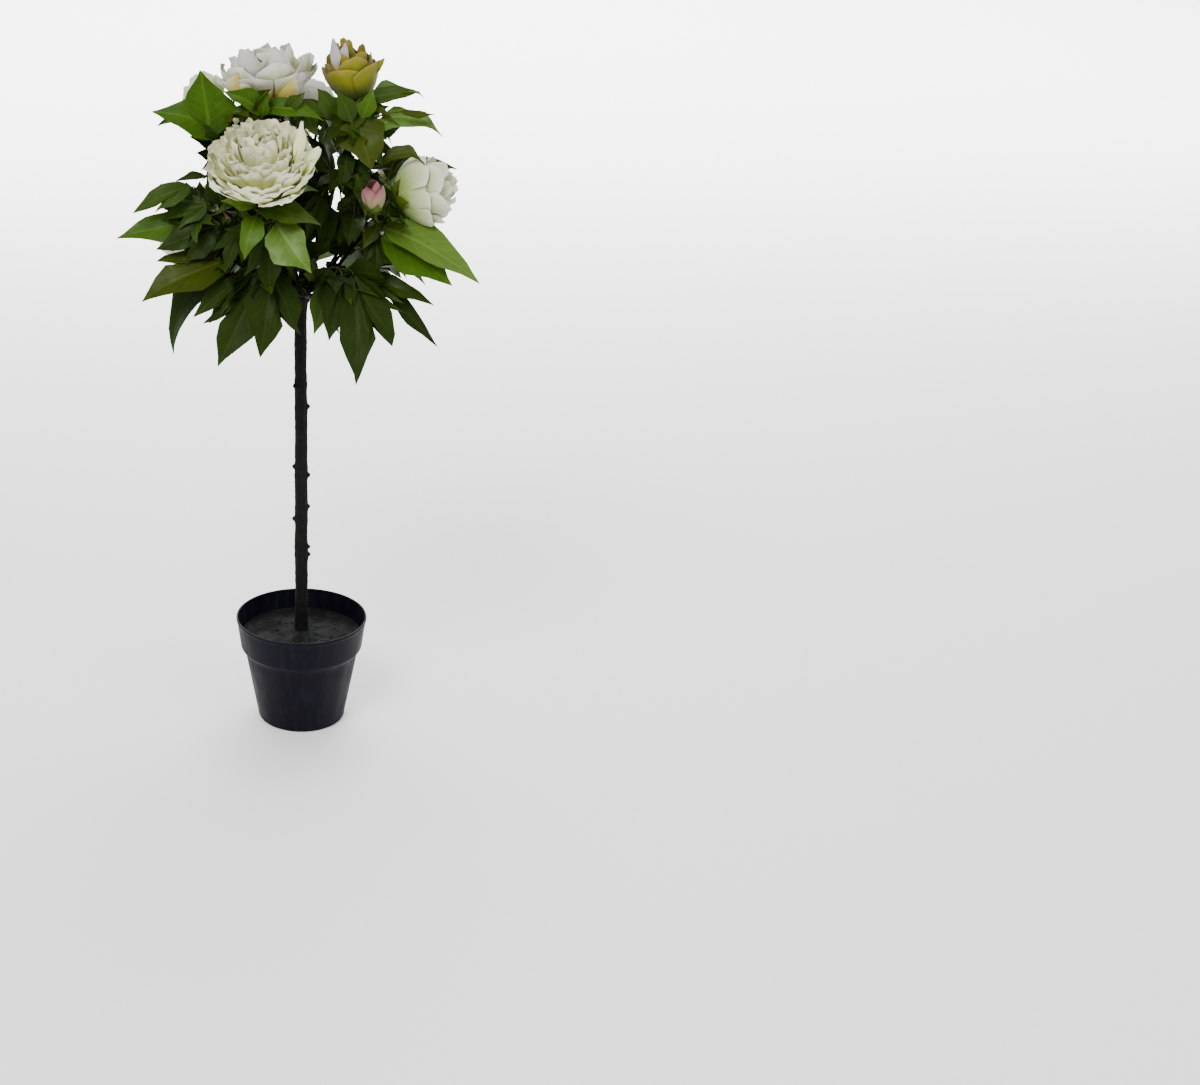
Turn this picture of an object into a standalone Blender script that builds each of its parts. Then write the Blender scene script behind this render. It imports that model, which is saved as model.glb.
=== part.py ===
"""Artificial peony standard: a pot, its ballast, a bare stem and a round head of blooms and leaves.

Metres, +Z up. The origin is the middle of the pot's flat underside and the front faces -Y.
Azimuths are in degrees round +Z from the front: 0 is -Y, 90 is +X. Elevations are above level.
Each spray of leaves is one closed lobed pad round its hub, where its bough ends, and each bloom
or bud is a closed head that sits on its spray. Planes between neighbours keep the solids apart.
"""

import itertools
import math

import bmesh
import bpy
import numpy as np
from mathutils import Vector

GAP = 0.0003  # clearance between two pieces that touch

# Pot
POT_HEIGHT = 0.147
RIM_RADIUS = 0.0875
BASE_RADIUS = 0.0583
COLLAR_HEIGHT = 0.043
COLLAR_TAPER = 0.0062  # how far the collar narrows from the rim to its lower edge
COLLAR_STEP = 0.0050  # how far the wall steps in below the collar
COLLAR_FOOT = POT_HEIGHT - COLLAR_HEIGHT
INNER_SHOULDER = COLLAR_FOOT + 0.012  # where the inside of the wall has widened to the collar
WALL = 0.0020
FLOOR = 0.0030
FOOT_BEVEL = 0.0030
TURN_STEPS = 32

# Ballast
FILL_TOP = 0.124
FILL_EDGE_DROP = 0.003  # the cast top falls away towards the wall
SEAT_RADIUS = 0.014  # flat place under the stem

# Stem
FORK_HEIGHT = 0.590  # middle of the swollen head that the boughs leave from
STEM_FOOT_RADIUS = 0.0100
STEM_LOW_RADIUS = 0.0086
STEM_HIGH_RADIUS = 0.0077
FORK_RADIUS = 0.0125
FORK_HALF_HEIGHT = 0.020
STEM_LEAN = -0.0015  # sideways drift from the pot to the fork
STEM_SIDES = 10
FLARE_HEIGHT = 0.010  # over which the foot's flare fades
STUB_RADIUS = 0.0024
STUB_REACH = 0.0022
STUB_RISE = 35
# Stubs of cut twigs, as (height, azimuth)
STUBS = (
    (0.235, 95), (0.247, 80), (0.286, -95), (0.303, 100),
    (0.348, 85), (0.359, -90), (0.441, 100), (0.470, -60),
)

# Boughs
BOUGH_FOOT_RADIUS = 0.0026
BOUGH_TIP_RADIUS = 0.0018
BOUGH_POINTS = 5
BOUGH_SIDES = 6
BOUGH_SHORT = 0.004  # a bough ends this far short of its hub
RINGS = ((58, 6), (14, 6), (-26, 6))  # elevation on the fork and number of boughs, steepest first

# Leaf pads
CORE_RADIUS = 0.028
CORE_FLATNESS = 0.40  # how much lower than wide the core is
LOBE_WIDTH, LOBE_THICKNESS = 42, 27  # half angles of a lobe as seen from the hub
LOBE_POINT = 1.5  # 1 for a lobe with straight sides, 2 for a rounded one
PAD_UNEVENNESS = 0.10
PAD_SEGMENTS, PAD_RINGS = 20, 8

# Blooms
BLOOM_RUFFLE = 0.08
BLOOM_FOOT = 0.28  # how much narrower a bloom is at its foot
BLOOM_SEGMENTS, BLOOM_RINGS = 12, 7
STALK = 0.008  # how far a bud's foot runs back to the lobe that carries it

# Where solids meet
BLOOM_GIVE = 0.35  # a bloom gives way to its neighbours less than a leaf pad, which gives 1
SOCKET_GAP = 2 * GAP  # larger than a bough all round, as its facets lie inside its radius
LEAST_HALF = 0.008  # no solid is cut nearer to its middle than this
LEANS = (0.2, 0.5, 0.9)  # how far the plane between two solids may lean from square to their line

COLOURS = {
    "pot": ((0.020, 0.020, 0.026), 0.45),
    "ballast": ((0.030, 0.032, 0.026), 0.9),
    "bark": ((0.018, 0.014, 0.011), 0.8),
    "limb": ((0.040, 0.040, 0.016), 0.7),
    "leaf": ((0.07, 0.16, 0.02), 0.45),
    "petal": ((0.80, 0.79, 0.66), 0.6),
}

# Each spray: hub (azimuth, reach from the stem's axis, height), then its long leaves as
# (azimuth, elevation, length from the hub to the tip). Shorter leaves fill in by SIDE_TURNS.
SPRAYS = {
    "top_left": ((-68, 0.092, 0.812), ((-77, 8, 0.088), (-58, 60, 0.066), (-120, 12, 0.066))),
    "top_centre": ((-60, 0.030, 0.806), ((-60, 14, 0.080), (28, 8, 0.074), (-12, 4, 0.085), (150, 12, 0.064))),
    "top_right": ((70, 0.066, 0.797), ((76, 28, 0.095), (84, -2, 0.100), (30, -22, 0.064), (-30, -4, 0.066))),
    "inner_right": ((50, 0.058, 0.744), ((84, 8, 0.062), (14, -4, 0.058), (-40, 2, 0.060))),
    "right": ((65, 0.112, 0.695), ((68, -26, 0.130), (40, -30, 0.112), (-18, 19, 0.052), (120, 4, 0.080))),
    "left": ((-70, 0.122, 0.695), ((-90, -11, 0.098), (-76, 12, 0.086), (-34, -6, 0.078), (-108, 34, 0.070))),
    "left_low": ((-58, 0.094, 0.643), ((-69, -18, 0.119), (-90, -52, 0.132), (-40, -34, 0.085))),
    "low_left": ((-34, 0.084, 0.641), ((-38, -52, 0.126), (-2, -46, 0.122), (-66, -58, 0.090))),
    "front": ((-19, 0.106, 0.704), ((31, -28, 0.092), (-28, -18, 0.080), (64, 4, 0.082), (-74, 8, 0.078))),
    "low_right": ((32, 0.083, 0.641), ((18, -58, 0.140), (-18, -46, 0.096), (46, -46, 0.108))),
    "right_low": ((76, 0.084, 0.628), ((61, -23, 0.094), (82, -48, 0.119), (108, -20, 0.084))),
    "back_top_left": ((-122, 0.110, 0.790), ((-100, -4, 0.088), (-150, 2, 0.090), (-70, 14, 0.070))),
    "back_top": ((165, 0.080, 0.796), ((140, 6, 0.088), (-172, 4, 0.094), (100, 10, 0.080))),
    "back_right": ((118, 0.112, 0.716), ((92, 10, 0.098), (128, -18, 0.112), (160, 2, 0.088))),
    "back": ((-176, 0.118, 0.706), ((140, -10, 0.094), (-142, -12, 0.094), (178, -28, 0.096))),
    "back_left": ((-118, 0.122, 0.690), ((-98, 0, 0.088), (-138, -12, 0.098), (-116, -36, 0.098))),
    "back_low_left": ((-150, 0.090, 0.634), ((-138, -50, 0.122), (-168, -44, 0.118), (-124, 28, 0.044))),
    "back_low_right": ((135, 0.092, 0.634), ((130, -50, 0.125), (160, -42, 0.112), (100, -26, 0.096))),
}
SIDE_TURNS = (-95, -55, 0, 55, 95)  # short leaves round the way out, where no long leaf is near
SIDE_CLEAR = 38  # how near, in degrees round the hub, a long leaf stands in for a short one
SIDE_LEAF = 0.060
SIDE_DROOP = -8

# Each bloom or bud: its middle (azimuth, reach, height), the way it faces (azimuth, elevation),
# its radius across and its half depth along the way it faces.
BLOOMS = {
    "bloom_front": ((-21, 0.123, 0.779), (-8, 62), 0.065, 0.043),
    "bloom_top_centre": ((-90, 0.035, 0.858), (-90, 84), 0.056, 0.034),
    "bloom_top_right": ((80, 0.059, 0.861), (-80, 77), 0.034, 0.042),
    "bloom_right": ((73, 0.152, 0.736), (98, 18), 0.045, 0.042),
    "bloom_back_left": ((-116, 0.156, 0.642), (-118, -12), 0.034, 0.032),
    "bloom_back_top_left": ((-118, 0.135, 0.825), (-128, 45), 0.028, 0.027),
    "bloom_back_right": ((126, 0.148, 0.694), (132, 8), 0.042, 0.036),
    "bloom_back_top": ((176, 0.102, 0.806), (170, 45), 0.036, 0.032),
    "bloom_back": ((-163, 0.152, 0.750), (-168, 26), 0.055, 0.043),
    "bud_front_right": ((40, 0.131, 0.733), (-16, 70), 0.0165, 0.023),
    "bud_back_left": ((-140, 0.142, 0.664), (-124, 28), 0.015, 0.022),
}


def aim(azimuth, elevation):
    """Unit vector for an azimuth and an elevation in degrees."""
    a, e = math.radians(azimuth), math.radians(elevation)
    return np.array([math.sin(a) * math.cos(e), -math.cos(a) * math.cos(e), math.sin(e)])


def place(azimuth, reach, height):
    """Point at a reach from the stem's axis and a height."""
    return aim(azimuth, 0) * reach + np.array([0, 0, height])


def collection(name):
    made = bpy.data.collections.new(name)
    bpy.context.scene.collection.children.link(made)
    return made


def material(name):
    colour, roughness = COLOURS[name]
    made = bpy.data.materials.new(name)
    made.use_nodes = True
    shader = made.node_tree.nodes["Principled BSDF"]
    shader.inputs["Base Color"].default_value = (*colour, 1)
    shader.inputs["Roughness"].default_value = roughness
    return made


def add_object(name, data, mat, group):
    made = bpy.data.objects.new(name, data)
    if mat:
        data.materials.append(mat)
    group.objects.link(made)
    return made


def turned(name, profile, mat, group):
    """Turns a profile of (radius, height) that goes down the outside and ends on the axis."""
    mesh = bpy.data.meshes.new(name)
    edges = [(i, i + 1) for i in range(len(profile) - 1)]
    mesh.from_pydata([(r, 0, z) for r, z in profile], edges, [])
    made = add_object(name, mesh, mat, group)
    screw = made.modifiers.new("turn", "SCREW")
    screw.steps = screw.render_steps = TURN_STEPS
    screw.use_merge_vertices = True
    screw.merge_threshold = 0.00001
    screw.use_smooth_shade = False


def body_radius(height):
    """Outside of the wall below the collar, straight from the base to the step."""
    step_radius = RIM_RADIUS - COLLAR_TAPER - COLLAR_STEP
    return np.interp(height, (0, COLLAR_FOOT), (BASE_RADIUS, step_radius))


def bore_radius(height):
    """Inside of the wall: parallel to the body, then widening to the inside of the collar."""
    heights = (0, COLLAR_FOOT, INNER_SHOULDER, POT_HEIGHT)
    shoulder = RIM_RADIUS - COLLAR_TAPER * (POT_HEIGHT - INNER_SHOULDER) / COLLAR_HEIGHT
    outside = np.array([BASE_RADIUS, body_radius(COLLAR_FOOT), shoulder, RIM_RADIUS])
    return np.interp(height, heights, outside - WALL)


def make_pot(group):
    """Turned shell: inside floor and wall, rim, collar, step, body, foot edge and underside."""
    lip = WALL / 3
    profile = [(0, FLOOR)]
    profile += [(bore_radius(z), z) for z in (FLOOR, COLLAR_FOOT, INNER_SHOULDER, POT_HEIGHT - lip)]
    profile += [
        (RIM_RADIUS - WALL + lip, POT_HEIGHT),
        (RIM_RADIUS - lip, POT_HEIGHT),
        (RIM_RADIUS, POT_HEIGHT - lip),
        (RIM_RADIUS - COLLAR_TAPER, COLLAR_FOOT + lip),
        (RIM_RADIUS - COLLAR_TAPER - lip, COLLAR_FOOT),
        (body_radius(COLLAR_FOOT), COLLAR_FOOT - COLLAR_STEP),
        (body_radius(FOOT_BEVEL), FOOT_BEVEL),
        (BASE_RADIUS - FOOT_BEVEL / 2, 0),
        (0, 0),
    ]
    turned("pot", profile, material("pot"), group)


def make_ballast(group):
    """Cast block that fills the pot, flat under the stem and falling a little towards the wall."""
    edge = FILL_TOP - FILL_EDGE_DROP
    shoulder = (SEAT_RADIUS + bore_radius(edge)) / 2
    profile = [(0, FILL_TOP), (SEAT_RADIUS, FILL_TOP), (shoulder, FILL_TOP - FILL_EDGE_DROP / 3)]
    profile += [(bore_radius(z) - GAP, z) for z in (edge, INNER_SHOULDER, COLLAR_FOOT, FLOOR + GAP)]
    profile += [(0, FLOOR + GAP)]
    turned("ballast", profile, material("ballast"), group)


def tube_mesh(name, points, radii, sides, swell=0.0):
    """Closed tube through points, made from a bevelled curve; a swell makes it larger all round."""
    curve = bpy.data.curves.new(name, "CURVE")
    curve.dimensions = "3D"
    curve.bevel_depth = 1.0
    curve.bevel_resolution = sides // 2 - 2
    curve.use_fill_caps = True
    spline = curve.splines.new("POLY")
    spline.points.add(len(points) - 1)
    for spot, centre, radius in zip(spline.points, points, radii):
        spot.co = (*centre, 1)
        spot.radius = radius + swell
    holder = bpy.data.objects.new(name, curve)
    bpy.context.scene.collection.objects.link(holder)
    graph = bpy.context.evaluated_depsgraph_get()
    mesh = bpy.data.meshes.new_from_object(holder.evaluated_get(graph))
    bpy.data.objects.remove(holder)
    bm = bmesh.new()
    bm.from_mesh(mesh)
    bmesh.ops.remove_doubles(bm, verts=bm.verts, dist=0.00001)
    bmesh.ops.recalc_face_normals(bm, faces=bm.faces)
    bm.to_mesh(mesh)
    bm.free()
    return mesh


def stem_axis(height):
    """Middle of the stem at a height: upright at the foot, drifting sideways towards the fork."""
    share = (height - FILL_TOP) / (FORK_HEIGHT - FILL_TOP)
    return np.array([STEM_LEAN * share * share, 0, height])


def stem_radius(height):
    """Slow taper, with a short flare at the foot and a swollen fork at the head."""
    low, high = FILL_TOP + 0.03, FORK_HEIGHT - FORK_HALF_HEIGHT
    share = min(1, max(0, (height - low) / (high - low)))
    radius = STEM_LOW_RADIUS + (STEM_HIGH_RADIUS - STEM_LOW_RADIUS) * share
    flare = math.exp(-(height - FILL_TOP) / FLARE_HEIGHT) * (STEM_FOOT_RADIUS - STEM_LOW_RADIUS)
    off = (height - FORK_HEIGHT) / FORK_HALF_HEIGHT
    swelling = (FORK_RADIUS - radius) * math.exp(-(off**2) * 2)
    return radius + flare + swelling


def combine(target, tool, operation):
    """Adds a Boolean of the tool to the target."""
    step = target.modifiers.new(operation.lower(), "BOOLEAN")
    step.operation = operation
    step.solver = "EXACT"
    step.object = tool


def fork_heights():
    """Heights of the fork's rings, the last of them its rounded top."""
    top = FORK_HEIGHT + FORK_HALF_HEIGHT
    return list(np.linspace(FORK_HEIGHT - FORK_HALF_HEIGHT, top - 0.002, 6)) + [top]


def stem_heights():
    """Heights of the stem's rings: close together at the flared foot and the fork."""
    foot = FILL_TOP + GAP
    flare = [foot + FLARE_HEIGHT * n for n in (0, 0.6, 1.5, 3.5)]
    middle = list(np.linspace(foot + 0.10, FORK_HEIGHT - 2 * FORK_HALF_HEIGHT, 7))
    return flare + middle + fork_heights()


def stem_tube(name, swell=0.0):
    """The stem as a closed tube of its own taper, with a rounded top."""
    heights = stem_heights()
    radii = [stem_radius(z) for z in heights]
    radii[-1] *= 0.7
    heights[-1] += swell
    return tube_mesh(name, [stem_axis(z) for z in heights], radii, STEM_SIDES, swell)


def hidden_tool(name, mesh, cutters):
    """A Boolean's tool, shown as wire and left out of renders."""
    tool = add_object(name, mesh, None, cutters)
    tool.hide_render = True
    tool.display_type = "WIRE"
    return tool


def make_stem(group, cutters):
    """Bare stem from the ballast to the rounded fork, with the stubs of its cut twigs."""
    stem = add_object("stem", stem_tube("stem"), material("bark"), group)
    for number, (height, azimuth) in enumerate(STUBS):
        start = stem_axis(height)
        end = start + aim(azimuth, STUB_RISE) * (stem_radius(height) + STUB_REACH)
        mesh = tube_mesh("stub", [start, end], [STUB_RADIUS, STUB_RADIUS * 0.7], BOUGH_SIDES)
        combine(stem, hidden_tool(f"stub_{number}", mesh, cutters), "UNION")


def bough_starts():
    """Where each bough leaves the fork: rings of evenly spaced places, the steepest on top."""
    def slope(name):
        _, reach, height = SPRAYS[name][0]
        return (height - FORK_HEIGHT) / reach

    order = sorted(SPRAYS, key=slope, reverse=True)
    starts = {}
    for elevation, count in RINGS:
        ring = sorted(order[:count], key=lambda name: SPRAYS[name][0][0])
        order = order[count:]
        azimuths = np.array([SPRAYS[name][0][0] for name in ring])
        even = np.arange(count) * 360 / count
        even += (azimuths - even).mean()
        starts.update({name: (azimuth, elevation) for name, azimuth in zip(ring, even)})
    return starts


def bough_paths():
    """Each bough as points along a cubic curve from inside the fork to just short of its hub."""
    centre = stem_axis(FORK_HEIGHT)
    paths = {}
    for name, (azimuth, elevation) in bough_starts().items():
        out = aim(azimuth, elevation)
        start = centre + out * FORK_RADIUS * 0.5
        hub = place(*SPRAYS[name][0])
        span = np.linalg.norm(hub - start)
        arrive = (hub - start) / span + np.array([0, 0, -0.25])
        arrive /= np.linalg.norm(arrive)
        end = hub - arrive * BOUGH_SHORT
        control = [start, start + out * span * 0.25, hub - arrive * span * 0.4, end]
        share = np.linspace(0, 1, BOUGH_POINTS)[:, None]
        weights = [(1 - share) ** 3, 3 * share * (1 - share) ** 2, 3 * share**2 * (1 - share), share**3]
        paths[name] = sum(w * c for w, c in zip(weights, control))
    return paths


def bough_radii():
    """Radius at each point of a bough, from the fork to the hub."""
    return list(np.linspace(BOUGH_FOOT_RADIUS, BOUGH_TIP_RADIUS, BOUGH_POINTS))


def tilted(normal):
    """A unit vector and others leaned over each way from it, a little and then more."""
    sides = [side for side in itertools.product((-1, 0, 1), repeat=3) if any(side)]
    ways = [normal] + [normal + np.array(side) * lean for lean in LEANS for side in sides]
    return [way / np.linalg.norm(way) for way in ways if np.linalg.norm(way) > 0.1]


def excess(offsets, normal, limit):
    """How much of a solid, as points from its middle, lies past a plane."""
    return np.clip(offsets @ normal - limit, 0, None).sum()


def plane_between(own, other):
    """The plane that keeps two solids apart at the least loss, as (normal, distance from own centre).

    Where the two reach past each other, each gives way by its share of what they overlap.
    """
    way = other["centre"] - own["centre"]
    best = None
    for normal in tilted(way / np.linalg.norm(way)):
        apart = way @ normal
        reach = (own["offsets"] @ normal).max()
        other_reach = (-(other["offsets"] @ normal)).max()
        overlap = reach + other_reach - apart
        limit = reach - overlap * own["give"] / (own["give"] + other["give"])
        if min(limit, apart - limit) < LEAST_HALF:
            continue
        loss = excess(own["offsets"], normal, limit) + excess(other["offsets"], -normal, apart - limit)
        if best is None or loss < best[0]:
            best = (loss, normal, limit)
    return best[1], best[2] - GAP / 2


def plane_from_limb(own, path, radius):
    """The plane that keeps a solid clear of a whole limb at the least loss."""
    spots = np.vstack([np.linspace(a, b, 6) for a, b in zip(path, path[1:])]) - own["centre"]
    way = spots[np.linalg.norm(spots, axis=1).argmin()]
    best = None
    for normal in tilted(way / np.linalg.norm(way)):
        limit = (spots @ normal).min() - radius - GAP
        if limit < LEAST_HALF:
            continue
        loss = excess(own["offsets"], normal, limit)
        if best is None or loss < best[0]:
            best = (loss, normal, limit)
    return best[1], best[2]


def fitted(solid, planes):
    """A solid's points from its middle, drawn in along their own lines until each plane is kept."""
    offsets = solid["offsets"].copy()
    for normal, limit in planes:
        over = offsets @ normal
        past = over > limit
        offsets[past] *= (limit / over[past])[:, None]
    return offsets


def ball(segments, rings):
    """A unit ball of segments and rings, and its points."""
    bm = bmesh.new()
    bmesh.ops.create_uvsphere(bm, u_segments=segments, v_segments=rings, radius=1)
    points = np.array([v.co for v in bm.verts])
    return bm, points


def with_side_leaves(hub, leaves):
    """The long leaves, and a short one at each side turn that has no long leaf near it."""
    def away(turn, leaf):
        return abs((hub[0] + turn - leaf[0] + 180) % 360 - 180)

    free = [turn for turn in SIDE_TURNS if all(away(turn, leaf) > SIDE_CLEAR for leaf in leaves)]
    return list(leaves) + [(hub[0] + turn, SIDE_DROOP, SIDE_LEAF) for turn in free]


def pad_solid(hub, leaves):
    """Lobed pad: a flattened core with a broad thin lobe out to the tip of every leaf."""
    bm, points = ball(PAD_SEGMENTS, PAD_RINGS)
    leaves = with_side_leaves(hub, leaves)
    tips = np.array([aim(azimuth, elevation) for azimuth, elevation, _ in leaves])
    nearest = []
    for tip in tips:  # the nearest free point turns to face the tip
        facing = points @ tip
        facing[nearest] = -1
        nearest.append(facing.argmax())
    points[nearest] = tips
    azimuth = np.arctan2(points[:, 0], -points[:, 1])
    elevation = np.arcsin(np.clip(points[:, 2], -1, 1))
    uneven = 1 + PAD_UNEVENNESS * np.cos(3 * azimuth + hub[0]) * np.cos(2 * elevation + hub[0])
    radii = CORE_RADIUS * uneven * (1 - CORE_FLATNESS * points[:, 2] ** 2)
    for (_, _, length), tip in zip(leaves, tips):
        side = np.cross(tip, (0, 0, 1))
        side /= np.linalg.norm(side)
        across = np.degrees(np.arctan2(points @ side, points @ tip)) / LOBE_WIDTH
        over = np.degrees(np.arctan2(points @ np.cross(side, tip), points @ tip)) / LOBE_THICKNESS
        lobe = np.clip(1 - np.abs(across) ** LOBE_POINT - np.abs(over) ** LOBE_POINT, 0, 1)
        radii = np.maximum(radii, CORE_RADIUS + (length - CORE_RADIUS) * lobe)
    return {"centre": place(*hub), "bm": bm, "offsets": points * radii[:, None], "give": 1.0}


def bloom_solid(middle, facing, across, depth, stalk=0.0):
    """Ruffled head: fullest above its middle, narrower at its foot, turned to the way it faces."""
    bm, points = ball(BLOOM_SEGMENTS, BLOOM_RINGS)
    height = points[:, 2]
    azimuth = np.arctan2(points[:, 1], points[:, 0])
    level = np.sqrt(np.clip(1 - height**2, 0, 1))
    ruffle = 1 + BLOOM_RUFFLE * np.cos(5 * azimuth + 4 * height) * level
    waist = np.where(height < 0, 1 - BLOOM_FOOT * height**2, 1) * ruffle * across
    local = np.stack([points[:, 0] * waist, points[:, 1] * waist, height * depth], 1)
    local[height.argmin(), 2] -= stalk
    turn = np.array(Vector(aim(*facing)).to_track_quat("Z", "Y").to_matrix())
    return {"centre": place(*middle), "bm": bm, "offsets": local @ turn.T, "give": BLOOM_GIVE}


def add_solid(name, solid, planes, mat, group):
    """The solid as an object, drawn in to keep its planes."""
    bm = solid["bm"]
    for vert, spot in zip(bm.verts, solid["centre"] + fitted(solid, planes)):
        vert.co = Vector(spot)
    mesh = bpy.data.meshes.new(name)
    bm.to_mesh(mesh)
    bm.free()
    return add_object(name, mesh, mat, group)


def make_boughs(paths, group, cutters):
    """One tapering limb for each spray, cut to the fork that it grows from."""
    bark = material("limb")
    fork = hidden_tool("stem_clearance", stem_tube("stem_clearance", GAP), cutters)
    for name, path in paths.items():
        mesh = tube_mesh(f"bough_{name}", path, bough_radii(), BOUGH_SIDES)
        combine(add_object(f"bough_{name}", mesh, bark, group), fork, "DIFFERENCE")


def make_head(group, cutters):
    """Boughs, leaf pads and blooms, each kept on its own side of the planes between neighbours."""
    leaf, petal = material("leaf"), material("petal")
    paths = bough_paths()
    make_boughs(paths, group, cutters)
    limbs = {name: (path, BOUGH_FOOT_RADIUS) for name, path in paths.items()}
    limbs["stem"] = (np.array([stem_axis(z) for z in fork_heights()]), FORK_RADIUS)

    solids = {name: pad_solid(hub, leaves) for name, (hub, leaves) in SPRAYS.items()}
    for name, sizes in BLOOMS.items():
        solids[name] = bloom_solid(*sizes, stalk=STALK if name.startswith("bud") else 0)
    for name, solid in solids.items():
        planes = [plane_between(solid, other) for n, other in solids.items() if n != name]
        planes += [plane_from_limb(solid, *limb) for n, limb in limbs.items() if n != name]
        if name in SPRAYS:
            pad = add_solid(f"leaves_{name}", solid, planes, leaf, group)
            socket = tube_mesh(f"socket_{name}", paths[name], bough_radii(), BOUGH_SIDES, SOCKET_GAP)
            combine(pad, hidden_tool(f"socket_{name}", socket, cutters), "DIFFERENCE")
        else:
            add_solid(name, solid, planes, petal, group)


def main():
    for old in list(bpy.data.objects):
        bpy.data.objects.remove(old)
    tree = collection("peony_standard")
    cutters = collection("cutters")
    make_pot(tree)
    make_ballast(tree)
    make_stem(tree, cutters)
    make_head(tree, cutters)


main()
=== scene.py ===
"""Looks of an artificial peony standard: a black pot, its cast ballast, a bark-covered stem with
its boughs, and a round head of lobed fabric leaves, double blooms and pink buds.

Metres, +Z up; the front faces -Y. Azimuths are in degrees round +Z from the front: 0 is -Y and
90 is +X. Elevations are above level.
"""

import math

import bpy
import numpy as np
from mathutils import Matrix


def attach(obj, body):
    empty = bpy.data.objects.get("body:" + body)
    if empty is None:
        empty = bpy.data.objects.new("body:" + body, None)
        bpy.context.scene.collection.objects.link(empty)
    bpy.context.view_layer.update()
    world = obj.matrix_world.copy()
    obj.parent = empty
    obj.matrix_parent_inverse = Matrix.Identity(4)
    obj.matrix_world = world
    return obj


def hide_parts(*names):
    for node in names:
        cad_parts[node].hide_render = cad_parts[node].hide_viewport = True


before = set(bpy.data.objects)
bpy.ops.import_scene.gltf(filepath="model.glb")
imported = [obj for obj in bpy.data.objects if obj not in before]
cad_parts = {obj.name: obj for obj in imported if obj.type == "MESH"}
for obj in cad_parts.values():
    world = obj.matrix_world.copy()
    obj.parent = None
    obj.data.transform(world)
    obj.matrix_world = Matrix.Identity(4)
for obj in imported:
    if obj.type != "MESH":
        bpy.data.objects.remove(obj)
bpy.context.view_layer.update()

# Pot and ballast
POT_HEIGHT, RIM_RADIUS, BASE_RADIUS = 0.147, 0.0875, 0.0583
COLLAR_FOOT, COLLAR_TAPER, COLLAR_STEP, WALL = 0.104, 0.0062, 0.0050, 0.0020
SHOULDER = COLLAR_FOOT + 0.012  # where the bore widens into the collar
POT_FLATS, POT_SIDES, FILL_SIDES = 16, 160, 200
FLOOR_TOP, FILL_TOP, FILL_EDGE, FILL_GAP = 0.0030, 0.124, 0.121, 0.0004

# Stem and boughs
FORK_HEIGHT, FORK_RADIUS, FORK_HALF = 0.590, 0.0125, 0.020
FOOT_RADIUS, LOW_RADIUS, HIGH_RADIUS = 0.0100, 0.0086, 0.0077
STEM_SIDES, BOUGH_SIDES, BOUGH_ROWS, STALK_SIDES, STALK_ROWS = 72, 14, 40, 7, 9
STUBS = (  # height, azimuth
    (0.235, 95), (0.247, 80), (0.286, -95), (0.303, 100),
    (0.348, 85), (0.359, -90), (0.441, 100), (0.470, -60),
)
KNUCKLES = ((58, 6, 10), (14, 6, 40), (-26, 6, 5))  # elevation on the fork, how many, azimuth
CROWN = np.array([0.0, 0.0, 0.72])  # middle of the head
UPWARD = np.array([0.0, 0.0, 1.0])
PER_METRE = 1000  # millimetres
SEED = 7

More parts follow.
